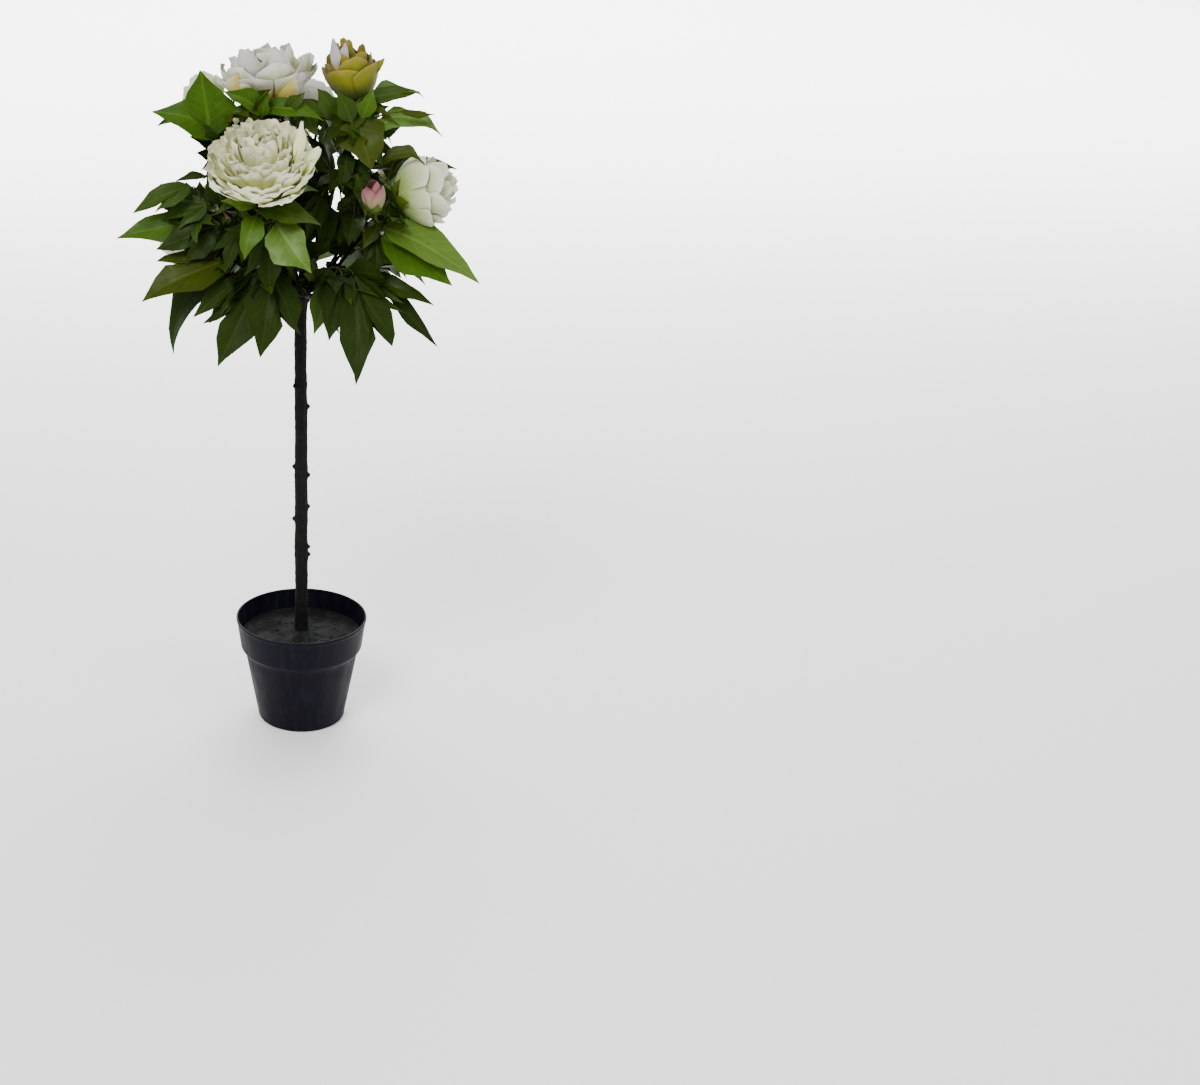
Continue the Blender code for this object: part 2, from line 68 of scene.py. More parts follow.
# Lengths in the tables of the head are in millimetres.
# Each spray: its hub (azimuth, reach, height), then its long leaves as (azimuth, elevation, length
# from the hub to the tip, tone, plan, width).
SPRAYS = {
    "top_left": ((-68, 92, 812), ((-120, 12, 66, "mid", "lobed", 1.0),)),
    "top_centre": ((-60, 30, 806), (
        (-12, 4, 85, "mid", "lobed", 1.0), (150, 12, 64, "mid", "lobed", 1.1))),
    "top_right": ((70, 66, 797), ((-30, -4, 66, "dark", "lobed", 1.1),)),
    "inner_right": ((50, 58, 744), (
        (84, 8, 62, "dark", "blade", 1.1), (14, -4, 58, "dark", "lobed", 1.1))),
    "right": ((65, 112, 695), ((120, 4, 80, "mid", "lobed", 1.1),)),
    "left": ((-70, 122, 695), ((-108, 34, 70, "dark", "lobed", 1.0),)),
    "left_low": ((-58, 94, 643), ((-100, -20, 90, "mid", "lobed", 1.0),)),
    "low_left": ((-34, 84, 641), ((-80, -44, 85, "dark", "lobed", 1.0),)),
    "front": ((-19, 106, 704), ()),
    "low_right": ((32, 83, 641), ((70, -48, 95, "dark", "lobed", 1.0),)),
    "right_low": ((76, 84, 628), ((108, -20, 84, "mid", "lobed", 1.0),)),
    "back_top_left": ((-122, 110, 790), (
        (-100, -4, 88, "bright", "blade", 1.1), (-150, 2, 90, "mid", "lobed", 1.1),
        (-70, 14, 70, "mid", "blade", 1.1))),
    "back_top": ((165, 80, 796), (
        (140, 6, 88, "mid", "lobed", 1.1), (-172, 4, 94, "bright", "lobed", 1.1),
        (100, 10, 80, "olive", "blade", 1.1))),
    "back_right": ((118, 112, 716), (
        (92, 10, 98, "mid", "blade", 1.1), (128, -18, 112, "bright", "lobed", 1.1),
        (160, 2, 88, "olive", "lobed", 1.1))),
    "back": ((-176, 118, 706), (
        (140, -10, 94, "mid", "lobed", 1.1), (-142, -12, 94, "olive", "blade", 1.2),
        (178, -28, 96, "bright", "lobed", 1.2))),
    "back_left": ((-118, 122, 690), (
        (-98, 0, 88, "mid", "lobed", 1.0), (-138, -12, 98, "bright", "lobed", 1.1),
        (-116, -36, 98, "dark", "blade", 1.1))),
    "back_low_left": ((-150, 90, 634), (
        (-138, -50, 122, "dark", "lobed", 1.0), (-168, -44, 118, "mid", "blade", 1.0),
        (-124, 28, 44, "mid", "blade", 1.2))),
    "back_low_right": ((135, 92, 634), (
        (130, -50, 125, "dark", "lobed", 1.0), (160, -42, 112, "mid", "blade", 1.1),
        (100, -26, 96, "dark", "blade", 1.0))),
}
# Leaves bent into place one by one, by spray: tone, plan, foot and tip as (x, y, z), width,
# the way the face looks (azimuth, elevation) and the bend along the leaf in degrees
# A leaf's tone here is partly painted light: dark tones for leaves low and deep in the head, in
# shade, and bright and pale ones for leaves on top that face the light.
PLACED = {
    "top_left": (
        ("bright", "blade", (-107, -50, 792), (-118, -52, 871), 1.49, (-10, 10), 18),
        ("bright", "blade", (-91, -44, 799), (-175, -54, 825), 1.06, (-5, 30), 34),
        ("dark", "blade", (-89, -50, 795), (-135, -60, 806), 0.72, (0, 30), 20),
    ),
    "top_centre": (
        ("bright", "blade", (-51, -50, 827), (25, -60, 814), 0.68, (0, 50), 66),
        ("bright", "blade", (-42, -50, 829), (-88, -58, 815), 1.06, (-10, 30), 50),
        ("bright", "blade", (-46, -55, 816), (-60, -50, 844), 1.28, (0, 15), 20),
        ("mid", "lobed", (-2, -40, 835), (19, -55, 793), 1.05, (10, 30), 20),
        ("mid", "blade", (-19, -60, 824), (5, -62, 847), 1.06, (5, 20), 20),
        ("bright", "blade", (-41, -60, 823), (-89, -58, 851), 0.98, (-5, 25), 30),
        ("bright", "blade", (-46, -62, 820), (-39, -66, 850), 1.19, (0, 20), 20),
        ("dark", "blade", (-32, -50, 825), (-46, -60, 803), 1.28, (0, 20), 20),
    ),
    "top_right": (
        ("bright", "arch", (74, -34, 822), (145, -43, 837), 1.15, (5, 25), 20),
        ("mid", "blade", (76, -32, 837), (140, -36, 841), 0.68, (5, 30), 24),
        ("olive", "arch", (45, -52, 781), (116, -52, 807), 1.5, (5, 20), 20),
        ("pale", "arch", (78, -50, 793), (167, -50, 789), 1, (5, 25), 20),
        ("olive", "slim", (115, -52, 823), (157, -50, 821), 0.83, (5, 30), 14),
        ("olive", "blade", (64, -40, 816), (83, -70, 759), 1.81, (8, 15), 30),
        ("mid", "left", (59, -45, 815), (99, -55, 760), 0.9, (20, 10), 24),
        ("dark", "blade", (53, -30, 819), (31, -60, 794), 1.06, (0, 20), 20),
        ("mid", "blade", (60, -30, 814), (24, -30, 838), 0.98, (-5, 30), 40),
        ("mid", "blade", (43, -36, 811), (19, -36, 848), 1.32, (0, 20), 24),
        ("mid", "blade", (60, -30, 814), (104, -35, 827), 0.89, (5, 30), 40),
        ("mid", "blade", (59, -50, 811), (43, -48, 847), 1.28, (-5, 20), 20),
        ("bright", "blade", (71, -48, 815), (84, -44, 849), 1.15, (8, 20), 20),
        ("mid", "blade", (38, -30, 812), (1, -30, 834), 0.94, (-5, 30), 30),
    ),
    "inner_right": (
        ("dark", "blade", (55, -50, 778), (48, -80, 735), 0.96, (0, 15), 20),
        ("dark", "blade", (50, -50, 755), (32, -80, 733), 1.06, (-5, 30), 35),
        ("dark", "blade", (57, -50, 766), (83, -60, 740), 1.17, (5, 20), 20),
        ("olive", "arch", (93, -55, 760), (148, -64, 760), 1.45, (10, 20), 24),
        ("dark", "small", (24, -50, 724), (4, -70, 675), 1, (-5, 15), 20),
        ("dark", "blade", (34, -40, 709), (25, -60, 658), 1.06, (-5, 15), 20),
        ("dark", "blade", (49, -40, 690), (46, -60, 666), 1.28, (-5, 15), 20),
        ("dark", "blade", (63, -50, 704), (58, -70, 668), 1.28, (5, 15), 20),
        ("mid", "blade", (77, -50, 724), (57, -75, 753), 1.06, (0, 15), 20),
    ),
    "right": (
        ("pale", "blade", (96, -60, 689), (215, -91, 631), 0.81, (20, 45), 28),
        ("bright", "blade", (96, -68, 680), (180, -96, 627), 1.02, (15, 40), 20),
        ("bright", "blade", (99, -52, 688), (173, -66, 665), 0.85, (15, 50), 34),
        ("dark", "lobed", (90, -50, 675), (90, -70, 626), 0.95, (10, 10), 15),
        ("olive", "blade", (92, -50, 687), (72, -65, 664), 1.06, (0, 20), 20),
        ("mid", "blade", (99, -60, 685), (76, -85, 710), 1.49, (0, 40), 20),
    ),
    "left": (
        ("mid", "left", (-133, -50, 734), (-202, -62, 706), 0.7, (-10, 40), 52),
        ("bright", "blade", (-122, -50, 696), (-221, -50, 667), 0.77, (-15, 35), 16),
        ("dark", "lobed", (-100, -60, 690), (-174, -70, 662), 1.2, (-10, 25), 25),
        ("dark", "blade", (-93, -50, 712), (-113, -50, 758), 1.06, (-10, 15), 20),
        ("dark", "slim", (-113, -50, 747), (-150, -50, 740), 1, (-10, 20), 40),
        ("mid", "small", (-112, -50, 714), (-170, -50, 696), 1, (-10, 30), 35),
    ),
    "left_low": (
        ("olive", "right", (-89, -65, 651), (-191, -90, 604), 0.98, (-15, 35), 45),
        ("dark", "slim", (-89, -60, 631), (-162, -55, 533), 1.5, (-30, 30), 66),
        ("dark", "left", (-69, -70, 634), (-130, -100, 588), 0.8, (-10, 20), 24),
    ),
    "low_left": (
        ("dark", "right", (-48, -80, 636), (-98, -120, 532), 0.98, (-15, 5), 16),
        ("dark", "left", (-35, -85, 638), (-47, -130, 547), 1.05, (0, 5), 14),
        ("dark", "lobed", (-57, -80, 636), (-111, -90, 577), 0.85, (-20, 10), 24),
        ("dark", "small", (-28, -75, 650), (-11, -90, 610), 1.1, (5, 10), 20),
    ),
    "front": (
        ("pale", "blade", (-29, -128, 710), (7, -167, 658), 1.36, (8, 8), 24),
        ("bright", "blade", (-52, -120, 716), (-67, -150, 672), 1.23, (-10, 20), 30),
        ("mid", "blade", (-53, -118, 726), (24, -142, 714), 0.98, (5, 55), 30),
        ("pale", "blade", (-53, -112, 726), (-93, -122, 735), 0.85, (0, 30), 30),
        ("dark", "lobed", (-39, -100, 692), (-35, -120, 620), 1.1, (0, 10), 20),
        ("dark", "small", (-72, -90, 694), (-92, -105, 645), 1, (-10, 10), 20),
    ),
    "low_right": (
        ("dark", "left", (62, -80, 636), (74, -140, 517), 0.84, (8, 5), 14),
        ("dark", "left", (48, -85, 635), (33, -120, 565), 1, (0, 5), 16),
        ("mid", "blade", (39, -80, 634), (16, -110, 570), 0.94, (-5, 5), 16),
        ("dark", "blade", (68, -70, 626), (103, -90, 575), 0.43, (10, 15), 40),
        ("dark", "small", (34, -75, 642), (13, -90, 607), 1.1, (-5, 10), 20),
    ),
    "right_low": (
        ("mid", "right", (74, -30, 621), (159, -62, 588), 0.56, (15, 40), 44),
        ("dark", "slim", (101, -30, 611), (165, -31, 528), 0.75, (20, 25), 76),
        ("mid", "slim", (69, -40, 616), (126, -60, 580), 0.67, (10, 30), 40),
    ),
}
SIDE_TURNS = (-95, -55, 0, 55, 95)  # short leaves round the way out, where no long leaf is near
SIDE_CLEAR, SIDE_LEAF, SIDE_DROOP = 22.8, 0.060, -8
BOUGH_LEAVES = (0.28, 0.40, 0.50, 0.60, 0.70, 0.80, 0.91)  # how far along a bough its leaves grow
BOUGH_TRIES = 8
SIGHT = np.array([0.0, -2.2, 1.19])  # where the openings through the head are looked through from
# Places where the head stays open to the light, as x and height of the sight line from the front on
# the upright plane through the stem, and how near to it a filling leaf may come
OPENINGS = np.array((
    (40, 804, 8.5), (34, 761, 8.5), (23, 724, 8.5), (38, 708, 8.5), (50, 690, 8.5), (18, 664, 8.5),
    (20, 632, 8.5), (34, 631, 8.5), (60, 631, 8.5), (82, 617, 8.5), (-71, 631, 8.5),
    (-101, 604, 8.5), (-135, 735, 8.5), (-160, 710, 8.5), (118, 626, 8.5), (140, 616, 8.5),
    (140, 775, 8.5), (160, 790, 8.5), (33, 633, 12), (40, 626, 10), (55, 631, 12), (69, 632, 12),
    (-89, 605, 10), (20, 725, 9), (41, 708, 9),
)) / PER_METRE

# Each bloom and bud: middle (azimuth, reach, height), facing (azimuth, elevation), radius across,
# half depth, style, tint
BLOOMS = {
    "bloom_front": ((-21.8, 123.7, 775), (-8, 62), 61.5, 41.5, "double", "cream"),
    "bloom_top_centre": ((-90, 41, 857), (-90, 84), 56, 34, "bowl", "blush"),
    "bloom_top_right": ((80, 59, 861), (-80, 77), 34, 42, "cup", "amber"),
    "bloom_right": ((73, 153, 729), (98, 14), 41.5, 42, "open", "white"),
    "bloom_back_left": ((-116, 162, 637), (-118, -12), 34, 32, "open", "white"),
    "bloom_back_top_left": ((-118, 135, 825), (-128, 45), 28, 27, "cup", "white"),
    "bloom_back_right": ((126, 148, 694), (132, 8), 42, 36, "double", "white"),
    "bloom_back_top": ((176, 102, 806), (170, 45), 36, 32, "open", "lilac"),
    "bloom_back": ((-163, 152, 750), (-168, 26), 55, 43, "double", "cream"),
    "bud_front_right": ((40, 131, 733), (-16, 70), 16.5, 23, "bud", "pink"),
    "bud_back_left": ((-140, 142, 664), (-124, 28), 15, 22, "bud", "pink"),
}
# Single petals that stand up out of a bloom: tint, plan, foot and tip as (x, y, z), width over
# length, facing (azimuth, elevation), how far they cup and the bend along them in degrees
LOOSE_PETALS = (
    ("cream", "petal", (-6, -138, 773), (1, -128, 826), 0.24, (15, 20), 0.25, 24),
    ("cream", "lobe", (-2, -128, 766), (22, -116, 794), 0.58, (30, 25), 0.35, 24),
    # Two petals in the shaded lilac, a darker copy of the lilac that paints shade on them.
    ("shaded_lilac", "petal", (42, -34, 864), (37, -30, 904), 0.3, (-15, 10), 0.25, 24),
    ("shaded_lilac", "petal", (49, -30, 865), (51, -26, 898), 0.36, (-5, 10), 0.25, 24),
    ("white", "lobe", (-41, -10, 833), (-47, -40, 890), 0.46, (-4, -5), 0.4, 70),
    ("lilac", "lobe", (-49, -6, 833), (-85, -30, 884), 0.54, (-45, -5), 0.45, 75),
    ("lilac", "lobe", (-45, -10, 833), (-66, -48, 896), 0.5, (-16, -5), 0.5, 80),
    ("lilac", "lobe", (-37, -10, 833), (-25, -52, 896), 0.52, (14, -5), 0.5, 80),
    ("lilac", "lobe", (-31, -8, 833), (6, -44, 865), 0.54, (34, 5), 0.45, 60),
    ("peach", "lobe", (-49, -14, 833), (-89, -50, 856), 0.62, (-35, 25), 0.4, 60),
    ("peach", "lobe", (-33, -16, 833), (-3, -60, 856), 0.62, (25, 22), 0.4, 60),
    ("amber", "petal", (83, -26, 861), (97, -22, 880), 0.4, (10, 20), 0.25, 24),
    ("white", "petal", (137, -64, 730), (186, -58, 735), 0.62, (10, 30), 0.25, 24),
)
PETAL_WIDE = 0.44  # how wide a petal's plan is for its length


# ---- directions and numbers


def aim(azimuth, elevation):
    """Unit vector at an azimuth and an elevation: (sin a cos e, -cos a cos e, sin e)."""
    a, e = np.radians(azimuth), np.radians(elevation)
    return np.stack([np.sin(a) * np.cos(e), -np.cos(a) * np.cos(e), np.sin(e)], axis=-1)


def metres(spot):
    """A place or length given in millimetres, in metres."""
    return np.array(spot) / PER_METRE


def place(azimuth, reach, height):
    """Point at a reach in millimetres from the stem's axis towards an azimuth, at a height."""
    return aim(azimuth, 0) * metres(reach) + UPWARD * metres(height)


def unit(vectors):
    """Each vector divided by its length."""
    return vectors / np.linalg.norm(vectors, axis=-1, keepdims=True)


def square_to(vectors, axes):
    """Each vector less its part along its unit axis, made a unit vector."""
    return unit(vectors - (vectors * axes).sum(-1, keepdims=True) * axes)


def ease(low, high, values):
    """Smooth step: 3x^2 - 2x^3 of how far each value has come from low to high."""
    x = np.clip((values - low) / (high - low), 0, 1)
    return x * x * (3 - 2 * x)


def bell(values, width):
    """A rise of 1 at zero that falls off to both sides: exp(-(value / width)^2)."""
    return np.exp(-((values / width) ** 2))


def lumps(points, size, seed):
    """Even noise of about -1 to 1 with bumps of about a size: sines along random ways, summed and
    divided by the root of how many they are."""
    count = 18
    draw = np.random.default_rng(seed)
    ways = draw.normal(size=(count, 3)) * (2.2 / np.asarray(size))
    phases = draw.uniform(0, 2 * np.pi, count)
    return np.sin(points @ ways.T + phases).sum(-1) / math.sqrt(count) * 0.8


def cubic(t, p0, p1, p2, p3):
    """Cubic curve through four control points: the sum of its weights at t times them."""
    return (1 - t) ** 3 * p0 + 3 * t * (1 - t) ** 2 * p1 + 3 * t * t * (1 - t) * p2 + t**3 * p3


# ---- gathering surfaces


def grid(rows, columns, closed=False):
    """Quads of a grid of points counted row by row, and the places of their corners on the finish,
    across and along from 0 to 1. A closed grid joins its last column to its first."""
    spans = columns - (not closed)
    row, column = np.meshgrid(np.arange(rows - 1), np.arange(spans), indexing="ij")
    here, beside = row * columns + column, row * columns + (column + 1) % columns
    faces = np.stack([here, beside, beside + columns, here + columns], axis=-1).reshape(-1, 4)
    across = np.stack([column, column + 1, column + 1, column], axis=-1) / spans
    along = np.stack([row, row, row + 1, row + 1], axis=-1) / (rows - 1)
    return faces, np.stack([across, along], axis=-1).reshape(-1, 4, 2)


def fan(pole, first, count, starts=False):
    """Triangles from a pole to each side of a ring of points that begins at the first; the ring
    starts a surface or ends it."""
    ring = np.arange(count)
    sides = [first + ring, first + (ring + 1) % count]
    return np.stack([np.full(count, pole), *(sides[::-1] if starts else sides)], axis=-1)


TIP_CORNERS = np.array([[0.5, 0.01], [0.51, 0.02], [0.49, 0.02]])  # of a fan's triangle


class Sheaf:
    """Surfaces gathered to be joined into one piece."""

    def __init__(self):
        self.points, self.faces, self.corners, self.count = [], [], [], 0

    def add(self, points, *parts):
        """Takes k copies of a surface: points (k, n, 3), and parts that each are faces (m, c) and
        their corners (m, c, 2) or (k, m, c, 2)."""
        copies, size = points.shape[:2]
        starts = self.count + np.arange(copies)[:, None, None] * size
        self.points.append(points.reshape(-1, 3))
        for faces, corners in parts:
            self.faces.append((faces[None] + starts).reshape(-1, faces.shape[1]))
            self.corners.append(np.broadcast_to(corners, (copies, *faces.shape, 2)).reshape(-1, 2))
        self.count += copies * size

    def finish(self, name, finish, slot, nodes=()):
        """Joins what was gathered into one smooth piece that rides on the plant."""
        mesh = bpy.data.meshes.new(name)
        faces = [face for block in self.faces for face in block.tolist()]
        mesh.from_pydata(np.concatenate(self.points).tolist(), [], faces)
        layer = mesh.uv_layers.new(name="OFBake")
        layer.data.foreach_set("uv", np.concatenate(self.corners).ravel())
        mesh.shade_smooth()
        mesh.materials.append(finish)
        made = bpy.data.objects.new(name, mesh)
        bpy.context.scene.collection.objects.link(made)
        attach(made, "root")
        if nodes:
            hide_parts(*nodes)


def add_tubes(sheaf, paths, radii, sides, reference, stretch=1.0):
    """Tubes along paths (k, n, 3): path + radius (cos a side + sin a up), with side square to the
    path and to a reference way, and a point half a radius beyond each end that closes it."""
    copies, rows = paths.shape[:2]
    ways = unit(np.gradient(paths, axis=1))
    out = ways[:, [0, -1]] * np.array([-1, 1])[:, None]
    ends = paths[:, [0, -1]] + out * radii[:, [0, -1], None] * 0.5
    side = unit(np.cross(ways, np.broadcast_to(reference, ways.shape)))
    up = np.cross(side, ways)
    angles = np.linspace(0, 2 * np.pi, sides, endpoint=False)[:, None]
    rings = paths[:, :, None] + radii[:, :, None, None] * (
        np.cos(angles) * side[:, :, None] + np.sin(angles) * up[:, :, None])
    faces, corners = grid(rows, sides, True)
    last = rows * sides
    sheaf.add(
        np.concatenate([rings.reshape(copies, -1, 3), ends], axis=1),
        (faces, corners * [1, stretch]), (fan(last, 0, sides, True), TIP_CORNERS),
        (fan(last + 1, last - sides, sides), TIP_CORNERS))


# ---- finishes


class Finish:
    """A material under construction: short calls that add nodes and return their outputs."""

    def __init__(self, name, **constants):
        self.material = bpy.data.materials.new(name)
        self.material.use_nodes = True
        self.nodes, self.links = self.material.node_tree.nodes, self.material.node_tree.links
        self.shader = self.nodes["Principled BSDF"]
        for socket, value in constants.items():
            self.set(socket.replace("_", " "), value)

    def feed(self, socket, value):
        """Links an output to a socket, or sets it to a number or colour."""
        if isinstance(value, bpy.types.NodeSocket):
            self.links.new(value, socket)
        else:
            socket.default_value = (*value, 1) if socket.type == "RGBA" else value

    def set(self, socket, value):
        """Feeds one of the shader's sockets."""
        self.feed(self.shader.inputs[socket], value)

    def add(self, kind, inputs, output=0, **settings):
        """One node with its settings, fed by pairs of a socket and a value."""
        node = self.nodes.new("ShaderNode" + kind)
        for name, value in settings.items():
            setattr(node, name, value)
        for socket, value in inputs:
            self.feed(node.inputs[socket], value)
        return node.outputs[output]

    def calc(self, operation, *values):
        """One arithmetic node."""
        return self.add("Math", enumerate(values), operation=operation)

    def times(self, value, factor):
        """A value times another."""
        return self.calc("MULTIPLY", value, factor)

    def plus(self, value, other):
        """A value plus another."""
        return self.calc("ADD", value, other)

    def step(self, value, low, high, start=0.0, end=1.0):
        """Smooth change from start to end as a value goes from low to high."""
        values = (value, low, high, start, end)
        return self.add("MapRange", enumerate(values), interpolation_type="SMOOTHSTEP")

    def blend(self, share, first, second):
        """Two colours mixed by a share."""
        return self.add("Mix", ((0, share), (6, first), (7, second)), 2, data_type="RGBA")

    def vector(self, *values):
        """A vector from up to three numbers."""
        return self.add("CombineXYZ", enumerate(values))

    def split(self, vector):
        """A vector's three numbers."""
        return self.add("SeparateXYZ", [(0, vector)], slice(3))

    def noise(self, vector, scale, detail=2.0, roughness=0.5):
        """Cloudy noise of 0 to 1."""
        return self.add("TexNoise", (
            ("Vector", vector), ("Scale", scale), ("Detail", detail), ("Roughness", roughness)))

    def cells(self, vector, scale):
        """Distance to the nearest of scattered points."""
        return self.add("TexVoronoi", (("Vector", vector), ("Scale", scale)))

    def own_map(self):
        """The place on the piece's own map, across and along, and both within their quarter of it,
        from 0 to 1."""
        across, along, _ = self.split(self.add("UVMap", (), uv_map="OFBake"))
        return across, along, *(self.calc("FRACT", self.times(way, 2.0)) for way in (across, along))

    def own_place(self):
        """The place on the plant, in metres."""
        return self.add("TexCoord", (), "Object")

    def stretched(self, *factors):
        """The place on the plant, each of its numbers times a factor."""
        return self.vector(*map(self.times, self.split(self.own_place()), factors))

    def relief(self, height, strength, distance):
        """Bump from a height of 0 to 1."""
        self.set("Normal", self.add("Bump", (
            ("Strength", strength), ("Distance", distance), ("Height", height))))


def leaf_finish(name, face, vein, shade, gloss):
    """Printed leaf cloth: a face colour with a pale midrib and chevron veins, and painted shade
    that darkens it towards its foot.
    Each quarter of the map is a leaf of its own, and a little paler than the one before."""
    f = Finish(name, Specular_IOR_Level=gloss)
    across, along, u, v = f.own_map()
    off = f.times(f.calc("ABSOLUTE", f.calc("SUBTRACT", u, 0.5)), 2.0)
    spot = f.vector(across, along)
    rib = f.step(f.plus(off, f.times(v, 0.05)), 0.035, 0.11, 1.0, 0.0)
    wander = f.times(f.noise(spot, 26.0), 0.10)
    chevron = f.times(f.calc("SUBTRACT", v, f.times(off, 0.34)), 8.0)
    wave = f.calc("PINGPONG", f.plus(chevron, wander), 0.5)
    veins = f.times(f.step(wave, 0.03, 0.10, 1.0, 0.0), f.step(off, 0.95, 0.35, 0.0, 1.0))
    marks = f.calc("MAXIMUM", rib, f.times(veins, 0.45))
    cloud = f.step(f.noise(spot, 11.0, 3.0), 0.30, 0.72)
    # Painted shade: the face fades into the shade colour towards the leaf's foot. Random cloudy
    # patches darken it too.
    ground = f.blend(f.step(v, 0.0, 0.55), shade, face)
    ground = f.blend(f.times(cloud, 0.55), ground, shade)
    column, row = (f.calc("FLOOR", f.times(way, 2.0)) for way in (across, along))
    quarter = f.plus(column, f.times(row, 2.0))
    ground = f.blend(f.times(quarter, 0.06), ground, vein)
    f.set("Base Color", f.blend(f.times(marks, 0.38), ground, vein))
    f.set("Roughness", f.step(cloud, 0.0, 1.0, 0.36, 0.52))
    weave = f.noise(spot, 320.0, 1.0)
    f.relief(f.plus(f.times(marks, -0.8), f.times(weave, 0.25)), 0.35, 0.0006)
    return f.material


def petal_finish(name, foot, body, rim, throat, edge):
    """Petal cloth: a tinted foot, a pale body and rim, with fine streaks running to the rim."""
    f = Finish(name, Roughness=0.62, Specular_IOR_Level=0.20,
               Sheen_Weight=0.12, Sheen_Roughness=0.5)
    across, along, u, v = f.own_map()
    streaks = f.noise(f.vector(f.times(across, 46.0), f.times(along, 3.0)), 1.0, 3.0, 0.6)
    v = f.plus(v, f.times(f.calc("SUBTRACT", streaks, 0.5), 0.22))
    colour = f.blend(f.step(v, 0.35 * throat, throat), foot, body)
    colour = f.blend(f.step(v, edge - 0.25, edge + 0.12), colour, rim)
    cloud = f.noise(f.vector(across, along), 9.0)
    f.set("Base Color", f.blend(f.step(cloud, 0.45, 0.75, 0.0, 0.22), colour, body))
    ribs = f.calc("ABSOLUTE", f.calc("SUBTRACT", u, 0.5))
    f.relief(f.plus(streaks, f.times(ribs, 0.4)), 0.30, 0.0005)
    return f.material


def bark_finish():
    """Moulded bark: near black, with grey flecks on its ridges, long cracks and mossy patches."""
    dark, light, moss = (0.0028, 0.0022, 0.0020), (0.0120, 0.0100, 0.0092), (0.0100, 0.0088, 0.0040)
    f = Finish("moulded_bark", Specular_IOR_Level=0.12)
    grain = f.noise(f.stretched(3.0, 3.0, 0.5), 260.0, 4.0, 0.6)
    patch = f.noise(f.own_place(), 60.0, 3.0)
    colour = f.blend(f.step(grain, 0.42, 0.70), dark, light)
    f.set("Base Color", f.blend(f.step(patch, 0.55, 0.75, 0.0, 0.6), colour, moss))
    f.set("Roughness", f.step(grain, 0.3, 0.7, 0.70, 0.90))
    f.relief(grain, 0.5, 0.0008)
    return f.material


def stalk_finish():
    """Coated wire stalks: green-brown, mottled along their length."""
    dark, light = (0.018, 0.026, 0.005), (0.045, 0.060, 0.012)
    f = Finish("coated_stalk", Roughness=0.6, Specular_IOR_Level=0.10)
    patch = f.noise(f.own_place(), 130.0)
    f.set("Base Color", f.blend(f.step(patch, 0.35, 0.65), dark, light))
    f.relief(f.noise(f.own_place(), 900.0, 1.0), 0.2, 0.0003)
    return f.material


def pot_finish():
    """Moulded black plastic: faint upright streaks of wear, a fine grain and a bluish bloom."""
    black, worn = (0.0032, 0.0030, 0.0068), (0.0080, 0.0075, 0.0135)
    bluish = (0.0070, 0.0062, 0.0160)
    f = Finish("moulded_pot_plastic", Specular_IOR_Level=0.07)
    streak = f.noise(f.stretched(1.0, 1.0, 0.06), 150.0, 3.0, 0.55)
    cloud = f.noise(f.own_place(), 26.0, 3.0, 0.6)
    colour = f.blend(f.step(streak, 0.42, 0.72, 0.0, 0.7), black, worn)
    f.set("Base Color", f.blend(f.step(cloud, 0.50, 0.75, 0.0, 0.5), colour, bluish))
    wear = f.plus(f.times(streak, 0.5), f.times(cloud, 0.5))
    f.set("Roughness", f.step(wear, 0.35, 0.65, 0.40, 0.58))
    fine = f.noise(f.own_place(), 2200.0, 1.0)
    f.relief(f.plus(f.times(streak, 0.5), f.times(fine, 0.25)), 0.22, 0.0005)
    return f.material


def ballast_finish():
    """Trowelled dark cast: grey-green, with grit and small pits."""
    dark, light, grey = (0.0040, 0.0050, 0.0040), (0.0105, 0.0122, 0.0112), (0.026, 0.028, 0.026)
    f = Finish("cast_ballast", Specular_IOR_Level=0.09)
    cloud = f.noise(f.own_place(), 42.0, 4.0, 0.6)
    grit = f.cells(f.own_place(), 520.0)
    colour = f.blend(f.step(cloud, 0.38, 0.66), dark, light)
    f.set("Base Color", f.blend(f.step(grit, 0.10, 0.32, 0.55, 0.0), colour, grey))
    f.set("Roughness", f.step(cloud, 0.3, 0.7, 0.95, 0.80))
    f.relief(f.plus(f.times(grit, 0.7), f.noise(f.own_place(), 300.0, 3.0)), 0.6, 0.0012)
    return f.material


# ---- pot and ballast


def rounded(profile, radius, steps=4):
    """A profile with each inner corner cut back by a radius and bridged by a quadratic curve."""
    profile = np.array(profile, float)
    t = np.linspace(0, 1, steps)[:, None]
    out = [profile[:1]]
    for before, corner, after in zip(profile[:-2], profile[1:-1], profile[2:]):
        ways = (before - corner, after - corner)
        start, end = (corner + unit(way) * min(radius, 0.45 * np.linalg.norm(way)) for way in ways)
        out.append((1 - t) ** 2 * start + 2 * t * (1 - t) * corner + t * t * end)
    return np.concatenate([*out, profile[-1:]])


def spaced(profile, gap):
    """A profile with points added so that none is further than a gap from the next."""
    out = []
    for start, end in zip(profile[:-1], profile[1:]):
        count = max(1, math.ceil(np.linalg.norm(end - start) / gap))
        out.append(start + (end - start) * np.arange(count)[:, None] / count)
    return np.concatenate([*out, profile[-1:]])


